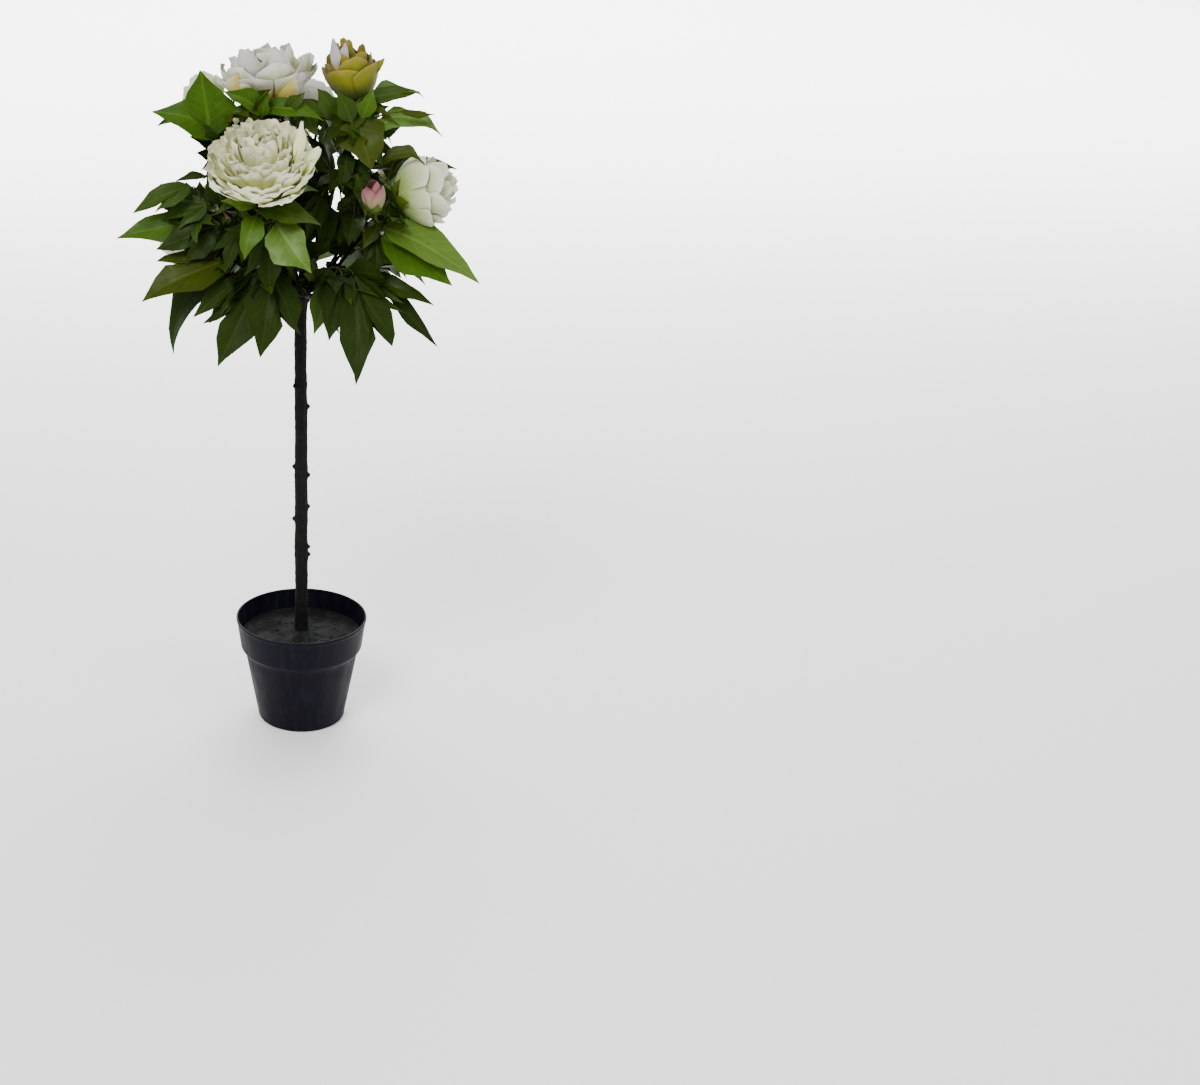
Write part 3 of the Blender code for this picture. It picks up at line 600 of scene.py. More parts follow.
def add_turned(sheaf, profile, steps, shift):
    """A profile of (radius, height) carried round the upright axis: (r sin a, -r cos a, z), closed
    by a point where it starts and ends on the axis. A shift moves the points."""
    angles = np.linspace(0, 2 * np.pi, steps, endpoint=False)
    inner = profile[1:-1]
    rings = np.stack([
        inner[:, :1] * np.sin(angles), -inner[:, :1] * np.cos(angles),
        np.broadcast_to(inner[:, 1:], (len(inner), steps))], axis=-1)
    points = shift(np.concatenate([rings.reshape(-1, 3), UPWARD * profile[[0, -1], 1:]]))
    run = np.cumsum(np.linalg.norm(np.diff(profile, axis=0, prepend=profile[:1]), axis=1))
    run = run / run[-1]
    faces, corners = grid(len(inner), steps, True)
    rows = np.arange(len(inner))
    corners[..., 1] = np.interp(corners[..., 1] * rows[-1], rows, run[1:-1])
    turns = (np.arange(steps)[:, None] + [0.5, 1, 0]) / steps
    start = np.stack(np.broadcast_arrays(turns, [0, run[1], run[1]]), axis=-1)
    end = np.stack(np.broadcast_arrays(turns[:, [0, 2, 1]], [1, run[-2], run[-2]]), axis=-1)
    last = len(inner) * steps
    sheaf.add(points[None], (faces, corners), (fan(last, 0, steps, True), start),
              (fan(last + 1, last - steps, steps), end))


def body_radius(height):
    """Outside of the pot's wall below the collar."""
    top = RIM_RADIUS - COLLAR_TAPER - COLLAR_STEP
    return np.interp(height, (0, COLLAR_FOOT), (BASE_RADIUS, top))


def bore_radius(height):
    """Inside of the pot's wall."""
    at_shoulder = RIM_RADIUS - COLLAR_TAPER * (POT_HEIGHT - SHOULDER) / (POT_HEIGHT - COLLAR_FOOT)
    outside = np.array([BASE_RADIUS, body_radius(COLLAR_FOOT), at_shoulder, RIM_RADIUS])
    return np.interp(height, (0, COLLAR_FOOT, SHOULDER, POT_HEIGHT), outside - WALL)


def make_pot():
    """Thin-walled pot: a rolled rim, a tapered collar that steps in to the body, a rounded foot
    and an underside with a standing ring and moulded rings inside it."""
    inside = [(0.0, FLOOR_TOP)] + [(bore_radius(z), z) for z in (FLOOR_TOP, COLLAR_FOOT, SHOULDER)]
    rim = [(RIM_RADIUS - inset, POT_HEIGHT - drop) for inset, drop in (
        (WALL + 0.0004, 0.004), (WALL + 0.0006, 0.0012), (WALL, 0), (0.0006, 0), (0, 0.0008),
        (0.0001, 0.0040), (0.0011, 0.0050))]
    low = RIM_RADIUS - COLLAR_TAPER
    collar = [(low + 0.0004, COLLAR_FOOT + 0.0035), (low, COLLAR_FOOT + 0.0012),
              (low - 0.0012, COLLAR_FOOT), (body_radius(COLLAR_FOOT), COLLAR_FOOT - COLLAR_STEP)]
    foot = [(body_radius(0.003), 0.003), (BASE_RADIUS - 0.0015, 0), (BASE_RADIUS - 0.0045, 0)]
    under = [(BASE_RADIUS - 0.0055, 0.0008), (0.036, 0.0008), (0.0352, 0.0003), (0.0338, 0.0003),
             (0.033, 0.0008), (0.012, 0.0008), (0.0112, 0.0003), (0, 0.0003)]
    profile = spaced(rounded(inside + rim + collar + foot + under, 0.0016), 0.006)

    def draw_marks(points):
        """Faint upright flats round the body, as a mould leaves them."""
        x, y, z = points.T
        radius, angle = np.hypot(x, y), np.arctan2(x, -y)
        outer = (radius > body_radius(z) - 0.0005) & (z > 0.004) & (z < COLLAR_FOOT - 0.006)
        sway = 0.00012 * np.cos(angle * POT_FLATS) - 0.00022 + 0.00010 * np.sin(3 * angle + 40 * z)
        scale = 1 + np.where(outer, sway, 0) / np.maximum(radius, 0.01)
        return np.stack([x * scale, y * scale, z], axis=-1)

    sheaf = Sheaf()
    add_turned(sheaf, profile, POT_SIDES, draw_marks)
    sheaf.finish("pot", pot_finish(), "pot", ["pot"])


def make_ballast():
    """Cast fill: the bore's shape, with a trowelled top that is raised round the stem and rough."""
    top = [(0.0, FILL_TOP), (0.014, FILL_TOP), (0.046, FILL_TOP - 0.001),
           (bore_radius(FILL_EDGE) - FILL_GAP, FILL_EDGE)]
    side = [(bore_radius(z) - FILL_GAP, z) for z in (SHOULDER, COLLAR_FOOT, FLOOR_TOP + FILL_GAP)]
    profile = spaced(rounded(top + side + [(0.0, FLOOR_TOP + FILL_GAP)], 0.001, 3), 0.0016)

    def trowel(points):
        """Heights changed by broad swells, clods and grit, a mound round the stem and a dip before
        it, all fading out at the wall."""
        x, y, z = points.T
        radius, flat = np.hypot(x, y), points * [1, 1, 0]
        share = ease(FILL_EDGE - 0.0015, FILL_EDGE + 0.0005, z) * ease(0.0815, 0.0750, radius)
        swell = 0.0011 * lumps(flat, 0.026, 3) + 0.0008 * np.maximum(lumps(flat, 0.009, 4), 0)
        clods = 0.0016 * np.maximum(lumps(flat, 0.0045, 5) - 0.55, 0)
        grit = 0.00025 * lumps(flat, 0.0018, 6)
        mound = 0.0045 * bell(radius, 0.019) - 0.0022 * bell(np.hypot(x - 0.008, y + 0.034), 0.011)
        return points + UPWARD * (share * (swell + clods + grit + mound))[:, None]

    sheaf = Sheaf()
    add_turned(sheaf, profile, FILL_SIDES, trowel)
    sheaf.finish("ballast", ballast_finish(), "ballast", ["ballast"])


# ---- stem and boughs


def stem_middle(height):
    """The stem's axis, drifting sideways towards the fork."""
    share = (height - FILL_TOP) / (FORK_HEIGHT - FILL_TOP)
    return np.stack([-0.0015 * share**2, 0 * share, height], axis=-1)


def stem_radius(height):
    """Slow taper, a short flare at the foot and a swollen fork."""
    ends = (FILL_TOP + 0.03, FORK_HEIGHT - FORK_HALF)
    radius = np.interp(height, ends, (LOW_RADIUS, HIGH_RADIUS))
    flare = np.exp(-(height - FILL_TOP) / 0.010) * (FOOT_RADIUS - LOW_RADIUS)
    swelling = np.exp(-2 * ((height - FORK_HEIGHT) / FORK_HALF) ** 2)
    return radius + flare + (FORK_RADIUS - radius) * swelling


def add_stem(sheaf):
    """Rings round the stem's axis whose radius carries lengthwise ridges, short cracks, swollen
    stubs of cut twigs and the knuckles of the fork: axis + (radius + relief)(sin a, -cos a, 0)."""
    top, crest = FORK_HEIGHT + FORK_HALF, 0.004
    heights = np.concatenate([np.linspace(FILL_TOP - 0.002, top - crest, 440),
                              top - crest + crest * np.sin(np.linspace(0.2, 1.4, 6))])
    angles = np.linspace(0, 2 * np.pi, STEM_SIDES, endpoint=False)
    z, a = np.meshgrid(heights, angles, indexing="ij")
    radius = stem_radius(z)
    around = np.stack([np.sin(a), -np.cos(a), 0 * a], axis=-1)
    bark = around * 0.009 + UPWARD * z[..., None]
    ridges = lumps(bark, (0.0028, 0.0028, 0.030), 21)
    plates = lumps(bark, (0.0016, 0.0016, 0.007), 22)
    cracks = np.maximum(-ridges - 0.8, 0)
    relief = 0.00038 * ridges + 0.00022 * plates - 0.0005 * cracks + 0.0004 * lumps(bark, 0.03, 23)
    for height, azimuth in STUBS:
        turn = (np.degrees(a) - azimuth + 180) % 360 - 180
        away = np.hypot(np.radians(turn) * radius, (z - height - 0.0012) * 0.9)
        relief = relief + 0.0026 * np.exp(-((away / 0.0026) ** 4)) + 0.0007 * bell(away, 0.0065)
        relief = relief + 0.0004 * bell(z - height, 0.003)
    for elevation, count, lead in KNUCKLES:
        height = FORK_HEIGHT + FORK_RADIUS * math.sin(math.radians(elevation))
        beat = np.maximum(np.cos(count * (a - math.radians(lead))), 0) ** 2
        relief = relief + 0.0016 * bell(z - height, 0.0055) * beat
    cap = np.where(z > top - 0.0045, np.sqrt(np.clip((top + 0.0005 - z) / 0.005, 0, 1)), 1)
    reach = (radius + relief * ease(FILL_TOP, FILL_TOP + 0.01, z)) * cap
    rings = (stem_middle(z) + reach[..., None] * around).reshape(-1, 3)
    faces, corners = grid(len(heights), STEM_SIDES, True)
    points = np.concatenate([rings, stem_middle(np.array([top]))])
    sheaf.add(points[None], (faces, corners * [1, 0.6]),
              (fan(len(rings), len(rings) - STEM_SIDES, STEM_SIDES), TIP_CORNERS + [0, 0.58]))


def bough_line(name, hub):
    """Centre line of a bough: a cubic in the distance from the fork, fitted to the bough's solid,
    from inside the fork to its spray's hub."""
    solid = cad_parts["bough_" + name]
    spots = [solid.matrix_world @ vertex.co for vertex in solid.data.vertices]
    spots = np.concatenate([spots, np.repeat(hub[None], 12, axis=0)])
    fork = stem_middle(np.array([FORK_HEIGHT]))[0]
    powers = np.arange(4)
    away = np.linalg.norm(spots - fork, axis=1)[:, None]
    terms = np.linalg.lstsq(away**powers, spots, rcond=None)[0]
    reach = np.linspace(0.004, np.linalg.norm(hub - fork), BOUGH_ROWS)[:, None]
    return reach**powers @ terms


def make_stem(hubs):
    """The stem and its boughs as one piece under one bark. A bough is a tube whose radius swells at
    each end and is knobbly between. Returns the boughs' lines by spray."""
    sheaf = Sheaf()
    add_stem(sheaf)
    paths = np.array([bough_line(name, hub) for name, hub in hubs.items()])
    share = np.linspace(0, 1, BOUGH_ROWS)
    swelling = 0.0012 * np.exp(-share / 0.06) + 0.0009 * bell(share - 1, 0.05)
    radii = 0.0027 - 0.0009 * share + swelling + 0.00025 * lumps(paths, 0.006, 31)
    add_tubes(sheaf, paths, radii, BOUGH_SIDES, reference=(0.31, 0.87, 0.38), stretch=0.3)
    sheaf.finish("stem", bark_finish(), "stem", ["stem"] + ["bough_" + name for name in hubs])
    return dict(zip(hubs, paths))


# ---- plans of leaves and petals


def lens(share):
    """Half width of a lobe along its length, 1 at its widest: s^0.75 (1 - s)^1.3 / 0.2554."""
    return share**0.75 * np.clip(1 - share, 0, 1) ** 1.3 / 0.2554


def as_plan(plan, off, faces, corners):
    """A plan of a flat shape one unit long: points across and along, how far each is from its
    midrib, faces, and their corners kept off the edge of the finish."""
    return plan.reshape(-1, 2), off.reshape(-1), faces, np.clip(corners, 0.01, 0.99)


def cut_leaf(main, inner, outer, rings, hands=(-1, 1), wide=0.180):
    """Plan of a lobed leaf: rings of points from its foot to its outline, which is that of a lens,
    with a smaller lens at 27 degrees to it on each hand that has one; main, inner and outer say
    where on the lenses the points lie."""
    turn, length, narrow = math.radians(27), 0.76, wide * 0.70
    lobe_way = np.array([math.sin(turn), math.cos(turn)])
    lobe_side = np.array([math.cos(turn), -math.sin(turn)])
    middle, rest = np.array(main), np.array([0.40, 0.26, 0.14, 0.05])
    edge, bare = (np.stack([wide * lens(share), share], axis=-1) for share in (middle, rest))
    notch = [0.150, 0.49]
    side = [lobe_way * length * s - lobe_side * narrow * lens(s) for s in inner]
    side.append(lobe_way * length)
    side += [lobe_way * length * s + lobe_side * narrow * lens(s) for s in outer]
    lobed, bare = np.concatenate([edge, [notch], side]), np.concatenate([edge, bare])
    left, right = (lobed if hand in hands else bare for hand in (-1, 1))
    outline = np.concatenate([left[::-1] * [-1, 1], [[0, 1]], right])
    plan = np.array(rings)[:, None, None] * outline
    across = np.abs(plan[..., 0])
    off_lobe = np.abs(across * math.cos(turn) - plan[..., 1] * math.sin(turn))
    off_lobe = np.where(np.isin(np.sign(plan[..., 0]), hands), off_lobe, across)
    faces = grid(len(rings), len(outline))[0]
    strip = np.tile(np.arange(len(outline) - 1), len(rings) - 1)
    reach = len(main) + 1
    hand = np.where(strip < len(left) - reach, -1, np.where(strip >= len(left) + reach, 1, 0))
    hand = np.where(np.isin(hand, hands), hand, 0)[:, None]
    x, y = np.moveaxis(plan.reshape(-1, 2)[faces], -1, 0)
    x, y = (x * np.cos(hand * turn) - y * np.sin(hand * turn),
            x * np.sin(hand * turn) + y * np.cos(hand * turn))
    scale = np.where(hand == 0, 1, length)
    corners = np.stack([0.5 + x / scale / 0.52, y / scale], axis=-1)
    return as_plan(plan, np.minimum(across, off_lobe), faces, corners)


def plain_leaf(wide, rows, columns, skew=0.0):
    """Plan of a simple leaf: rows across a lens of a half width, its midrib bowed sideways by a
    skew."""
    along = np.linspace(0, 1, rows)[:, None] ** 0.85
    half = np.maximum(wide * lens(np.clip(along, 0.01, 1)), 0.004)
    across = half * np.linspace(-1, 1, columns)
    bowed = across + skew * (along * (1 - along))
    plan = np.stack(np.broadcast_arrays(bowed, along), axis=-1)
    faces = grid(rows, columns)[0]
    corners = np.stack([0.5 + 0.5 * across / wide * 0.8, plan[..., 1]], axis=-1)
    return as_plan(plan, np.abs(across), faces, corners.reshape(-1, 2)[faces])


def petal_plan(tip, lag):
    """Plan of a loose petal: its half width grows as a sine towards its head and comes to a share
    of its widest at the rim, whose corners lag behind."""
    rows, columns = 7, 7
    along, v = np.linspace(0, 1, rows)[:, None], np.linspace(-1, 1, columns)
    share = 0.06 + (0.94 - math.asin(tip) / math.pi) * along
    half = 0.5 * PETAL_WIDE * np.sin(np.pi * share**1.1)
    behind = (lag * v**2 + 0.03 * np.cos(7 * v)) * along**2
    across = half * v
    faces = grid(rows, columns)[0]
    corners = np.stack(np.broadcast_arrays(v * 0.5 + 0.5, along), axis=-1)
    plan = np.stack([across, along - behind], axis=-1)
    return as_plan(plan, np.abs(across), faces, corners.reshape(-1, 2)[faces])


def leaf_plans():
    """Every plan by name: big leaves with lobes on both hands or one, a small lobed leaf, a broad
    blade, a slim curved one, one arched sideways and a side leaflet; then a pointed petal, a broad
    one and a rounded one."""
    fine = ((0.90, 0.75, 0.60), (0.84,), (0.86, 0.62, 0.38, 0.16), (0.04, 0.26, 0.50, 0.76, 1.0))
    coarse = ((0.82, 0.62), (0.84,), (0.76, 0.42, 0.16), (0.05, 0.40, 0.72, 1.0))
    return {
        "lobed": cut_leaf(*fine, wide=0.205),
        "left": cut_leaf(*fine, hands=(-1,), wide=0.235),
        "right": cut_leaf(*fine, hands=(1,), wide=0.235),
        "small": cut_leaf(*coarse, wide=0.20),
        "blade": plain_leaf(0.235, 10, 7, 0.06),
        "slim": plain_leaf(0.120, 10, 5, 0.30),
        "arch": plain_leaf(0.125, 12, 5, -1.05),
        "leaflet": plain_leaf(0.205, 7, 5),
        "petal": petal_plan(0.35, 0.10),
        "fan": petal_plan(0.85, 0.16),
        "lobe": petal_plan(0.70, 0.30),
    }


# ---- leaves and stalks


def bent(foot, tip, up, bend, width, fold=0.30, wave=0.03, curl=0.0, twist=0.0):
    """Row for bend_leaves: one leaf from foot to tip whose face looks up, bent down by an angle
    along its length, with its width, fold, waves, sideways curl and twist. Angles in degrees."""
    return (*foot, *tip, *up, math.radians(bend), width, fold, wave, curl, math.radians(twist))


class Leaves:
    """Leaves waiting to be made, by tone and plan, and the stalks they grow on as curves."""

    def __init__(self):
        self.rows, self.stalks = {}, []

    def add(self, plan, tone, *row, **extras):
        """One leaf, described as for bent."""
        self.rows.setdefault((tone, plan), []).append(bent(*row, **extras))

    def stalk(self, start, out, end, way, reach, radius):
        """A stalk that leaves its start one way and comes to its end another."""
        self.stalks.append((start, start + out * reach, end - way * reach, end, radius))


def bend_leaves(rows, plan, fold_off, draw):
    """Leaves from their plan: across x and along y become, with a constant bend b over the length,
    (sin b y / b, -(1 - cos b y) / b) along and up, plus a height off that arc from the fold at the
    midribs, waves at the rim, droop at the sides and a twist."""
    foot, tip, up = rows[:, 0:3], rows[:, 3:6], rows[:, 6:9]
    bend, width, fold, wave, curl, twist = rows[:, 9:15].T[..., None]
    bend = np.where(np.abs(bend) < 0.02, 0.02, bend)
    span = np.linalg.norm(tip - foot, axis=1, keepdims=True)
    chord = (tip - foot) / span
    up = square_to(up, chord)
    length = span * (bend / 2) / np.sin(bend / 2)
    way = np.cos(bend / 2) * chord + np.sin(bend / 2) * up
    rise = np.cos(bend / 2) * up - np.sin(bend / 2) * chord
    side = np.cross(way, rise)
    count = len(rows)
    x, y = plan[:, 0] * width, np.broadcast_to(plan[:, 1], (count, len(plan)))
    sweep = draw.normal(0, 0.10, (count, 2))
    swing = np.where(x > 0, sweep[:, :1], -sweep[:, 1:]) * ease(0.12, 0.30, np.abs(x))
    x, y = x * np.cos(swing) + y * np.sin(swing), y * np.cos(swing)
    far = np.hypot(x, y)
    phase = draw.uniform(0, 2 * np.pi, (count, 4)).T[..., None]
    teeth = 0.13 * np.sin(11 * y + phase[3] + 2 * np.sign(x)) * ease(0.1, 0.4, y)
    x = x * (1 + teeth) + curl * y * y
    ruffle = np.sin(9 * y + phase[0] + 3 * np.sign(x)) * (np.abs(x) / 0.2)
    ruffle = ruffle + 0.6 * np.sin(17 * far + 14 * x + phase[1]) * far**2
    off = fold * fold_off * width - 0.55 * x * x + wave * ruffle * 0.35
    off = off + 0.020 * np.sin(5 * far + phase[2])
    turn = twist * y
    x, off = x * np.cos(turn) - off * np.sin(turn), x * np.sin(turn) + off * np.cos(turn)
    arc = bend * y
    spot = np.stack([x, np.sin(arc) / bend + off * np.sin(arc),
                     -(1 - np.cos(arc)) / bend + off * np.cos(arc)], axis=-1)
    return foot[:, None] + length[..., None] * (spot @ np.stack([side, way, rise], axis=1))


def spread_corners(corners, count, draw):
    """Copies of a plan's corners dealt out to the four quarters of the finish."""
    quarter = draw.integers(0, 2, (count, 1, 1, 2))
    return (corners[None] + quarter) / 2


def add_leaves(sheaf, rows, plan, draw):
    """Leaves of one plan into a sheaf, their corners dealt out over the finish."""
    spots, fold_off, faces, corners = plan
    made = bend_leaves(np.array(rows), spots, fold_off, draw)
    sheaf.add(made, (faces, spread_corners(corners, len(rows), draw)))


def shuts_opening(foot, tip):
    """Whether a leaf's line, carried along the sight line to the plane through the stem, comes
    nearer to one of the openings than it may."""
    spots = foot + (tip - foot) * np.linspace(0, 1, 6)[:, None]
    share = SIGHT[1] / (SIGHT[1] - spots[:, 1:2])
    onto = SIGHT + (spots - SIGHT) * share
    away = np.linalg.norm(onto[:, None, [0, 2]] - OPENINGS[:, :2], axis=2)
    return (away < OPENINGS[:, 2]).any()


def meets_bloom(foot, tip):
    """Whether the outer part of a leaf's line lies inside the oval of a bloom."""
    spots = foot + (tip - foot) * np.linspace(0.4, 1, 4)[:, None]
    for at, facing, across, depth, *_ in BLOOMS.values():
        away = (spots - place(*at)) * PER_METRE
        rise = away @ aim(*facing)
        out = (away**2).sum(-1) - rise**2
        if ((rise / depth) ** 2 + out / across**2 < 0.9).any():
            return True
    return False


def near_tone(tone, draw):
    """A tone next to the one given, or the same."""
    order = ("pale", "bright", "mid", "olive", "dark")
    return order[int(np.clip(order.index(tone) + draw.integers(-1, 2), 0, 4))]


def grow_placed(leaves, hub, placed, draw):
    """The leaves of a spray that were bent into place, each on a stalk from the hub."""
    for tone, plan, foot, tip, width, face, bend in placed:
        foot, tip = metres(foot), metres(tip)
        way = unit(tip - foot)
        reach = np.linalg.norm(foot - hub) * 0.35
        leaves.stalk(hub, unit(foot - hub), foot, way, reach, 0.0011)
        leaves.add(plan, tone, foot, tip, square_to(aim(*face), way), bend, width,
                   curl=draw.normal(0, 0.03), twist=draw.normal(0, 6))


def grow_long(leaves, hub, long_leaves, draw):
    """The long leaves of a spray, each with a pair of side leaflets at its foot."""
    for azimuth, elevation, length, tone, plan, width in long_leaves:
        way, length = aim(azimuth, elevation), metres(length)
        tip = hub + way * length
        out = unit(hub + way * length * 0.5 - CROWN)
        up = square_to(UPWARD + 0.7 * out + draw.normal(0, 0.35, 3), way)
        foot = hub + (way * 0.11 + up * 0.05) * length
        if meets_bloom(foot, tip):
            continue
        bend = draw.uniform(30, 50) if elevation > -40 else draw.uniform(16, 30)
        leaves.stalk(hub, way + 0.75 * up, foot, way, length * 0.04, 0.0011)
        leaves.add(plan, tone, foot, tip, up, bend, width,
                   curl=draw.normal(0, 0.05), twist=draw.normal(0, 8))
        side, join = np.cross(way, up), hub + (foot - hub) * 0.72
        for hand in (-1, 1):
            spread = math.radians(draw.uniform(44, 66))
            lean = unit(way * math.cos(spread) + side * hand * math.sin(spread)
                        + up * draw.uniform(-0.05, 0.30))
            size, start = length * draw.uniform(0.50, 0.62), join + lean * 0.005
            if meets_bloom(start, start + lean * size):
                continue
            leaves.stalk(join, lean, start, lean, 0.002, 0.0008)
            leaves.add("leaflet", near_tone(tone, draw), start, start + lean * size, up + 0.3 * out,
                       draw.uniform(25, 60), draw.uniform(1.2, 1.6),
                       curl=-hand * draw.uniform(0.0, 0.15), twist=draw.normal(0, 12))


def grow_side(leaves, hub, azimuths, middle, draw):
    """Short leaves round a hub, left out near the azimuth of a long one and where they would shut
    an opening or meet a bloom."""
    for turn in SIDE_TURNS:
        azimuth = middle + turn
        if (np.abs((azimuths - azimuth + 180) % 360 - 180) < SIDE_CLEAR).any():
            continue
        way = aim(azimuth + draw.normal(0, 8), SIDE_DROOP + draw.normal(0, 14))
        size = SIDE_LEAF * draw.uniform(0.90, 1.10)
        up = square_to(UPWARD + 0.6 * unit(hub - CROWN) + draw.normal(0, 0.35, 3), way)
        foot, tip = hub + way * size * 0.16 + up * 0.003, hub + way * size
        if shuts_opening(foot, tip) or meets_bloom(foot, tip):
            continue
        leaves.stalk(hub, way, foot, way, size * 0.05, 0.0009)
        leaves.add("small", near_tone("mid", draw), foot, tip, up, draw.uniform(30, 60),
                   draw.uniform(1.1, 1.3), twist=draw.normal(0, 12))


def grow_on_bough(leaves, path, draw):
    """Small leaves along a bough, each turned until it shuts no opening and meets no bloom."""
    along = unit(path[-1] - path[0])
    for share in BOUGH_LEAVES:
        join = path[int(share * (len(path) - 1))]
        for _ in range(BOUGH_TRIES):
            way = unit(square_to(draw.normal(size=3), along) + 0.6 * along + 0.2 * UPWARD)
            size = draw.uniform(0.050, 0.074)
            foot = join + way * 0.010
            tip = foot + way * size
            if not shuts_opening(foot, tip) and not meets_bloom(foot, tip):
                break
        else:
            continue
        up = square_to(0.6 * UPWARD + 0.9 * unit(join * [1, 1, 0]) + draw.normal(0, 0.3, 3), way)
        leaves.stalk(join, way, foot, way, 0.003, 0.0009)
        # Painted shade: leaves deep in the head along the boughs mostly take the dark tone.
        leaves.add("small", ("dark", "dark", "mid")[draw.integers(3)], foot, tip, up,
                   draw.uniform(20, 60), 1.15)


def grow_sprays(hubs, paths, draw):
    """The seeded rule of growth: from each hub the listed leaves, the long leaves and short
    ones between them, and along each bough a few more."""
    leaves = Leaves()
    for name, hub in hubs.items():
        (middle, *_), long_leaves = SPRAYS[name]
        placed = PLACED.get(name, ())
        grow_placed(leaves, hub, placed, draw)
        grow_long(leaves, hub, long_leaves, draw)
        tips = [metres(tip) - hub for _, _, _, tip, *_ in placed]
        azimuths = [math.degrees(math.atan2(x, -y)) for x, y, _ in tips]
        grow_side(leaves, hub, np.array([row[0] for row in long_leaves] + azimuths), middle, draw)
        grow_on_bough(leaves, paths[name], draw)
    return leaves


# ---- blooms

# Rings of petals from the outside in: how many, the angle of their rims from the way the bloom
# faces, their share of its radius, their width, how far their rims turn out, and how far they wrap
# round the outside (1) or rise from the middle (0).
PETAL_RINGS = {
    "double": ((8, 99, 0.94, 1.35, -0.02, 1.0), (10, 90, 0.97, 1.35, 0.00, 0.9),
               (11, 79, 1.00, 1.35, 0.02, 0.8), (11, 68, 1.00, 1.35, 0.02, 0.7),
               (11, 57, 0.99, 1.35, 0.02, 0.6), (10, 46, 0.99, 1.40, 0.02, 0.5),
               (9, 35, 0.98, 1.40, 0.02, 0.45), (8, 25, 0.98, 1.50, 0.01, 0.4),
               (6, 14, 0.97, 1.70, 0.01, 0.4)),
    "open": ((6, 88, 0.97, 1.35, 0.03, 1.0), (6, 62, 1.00, 1.25, 0.05, 0.85),
             (6, 40, 1.00, 1.25, 0.04, 0.7), (5, 18, 0.96, 1.40, 0.01, 0.5)),
    "bowl": ((7, 84, 0.98, 1.20, 0.03, 1.0), (7, 54, 1.04, 1.15, 0.05, 0.9),
             (6, 28, 1.04, 1.20, 0.03, 0.7)),
    "cup": ((5, 72, 0.96, 1.50, 0.05, 1.0), (5, 54, 0.94, 1.40, 0.07, 0.9),
            (5, 38, 0.88, 1.30, 0.05, 0.8), (4, 22, 0.78, 1.40, 0.02, 0.6)),
    "bud": ((4, 52, 1.00, 2.0, -0.04, 1.0), (3, 24, 0.98, 2.2, -0.04, 1.0)),
}
# How much the rims are notched, how round their corners are and how far they ruffle, by style
PETAL_RIMS = {"double": (0.010, 0.17, 1.0), "open": (0.020, 0.30, 1.1), "bowl": (0.018, 0.28, 1.1),
              "cup": (0.020, 0.28, 0.8), "bud": (0.02, 0.22, 0.35)}
# How many petals the tuft in the middle has and its share of the radius, by style
TUFTS = {"double": (22, 0.36), "open": (18, 0.40), "bowl": (14, 0.40), "cup": (8, 0.30)}
GOLDEN_ANGLE = 2.39996
PETAL_ROWS, PETAL_COLUMNS = 8, 11
BROADEST = 0.72  # how far along a petal is at its broadest


def bloom_frame(facing):
    """The way a bloom faces and two ways square to it."""
    axis = aim(*facing)
    side = unit(np.cross(axis, [0.12, 0.05, 1.0]))
    return axis, side, np.cross(axis, side)


def spoke(spin, first, second):
    """The way at an angle a round an axis: cos a first + sin a second."""
    return math.cos(spin) * first + math.sin(spin) * second


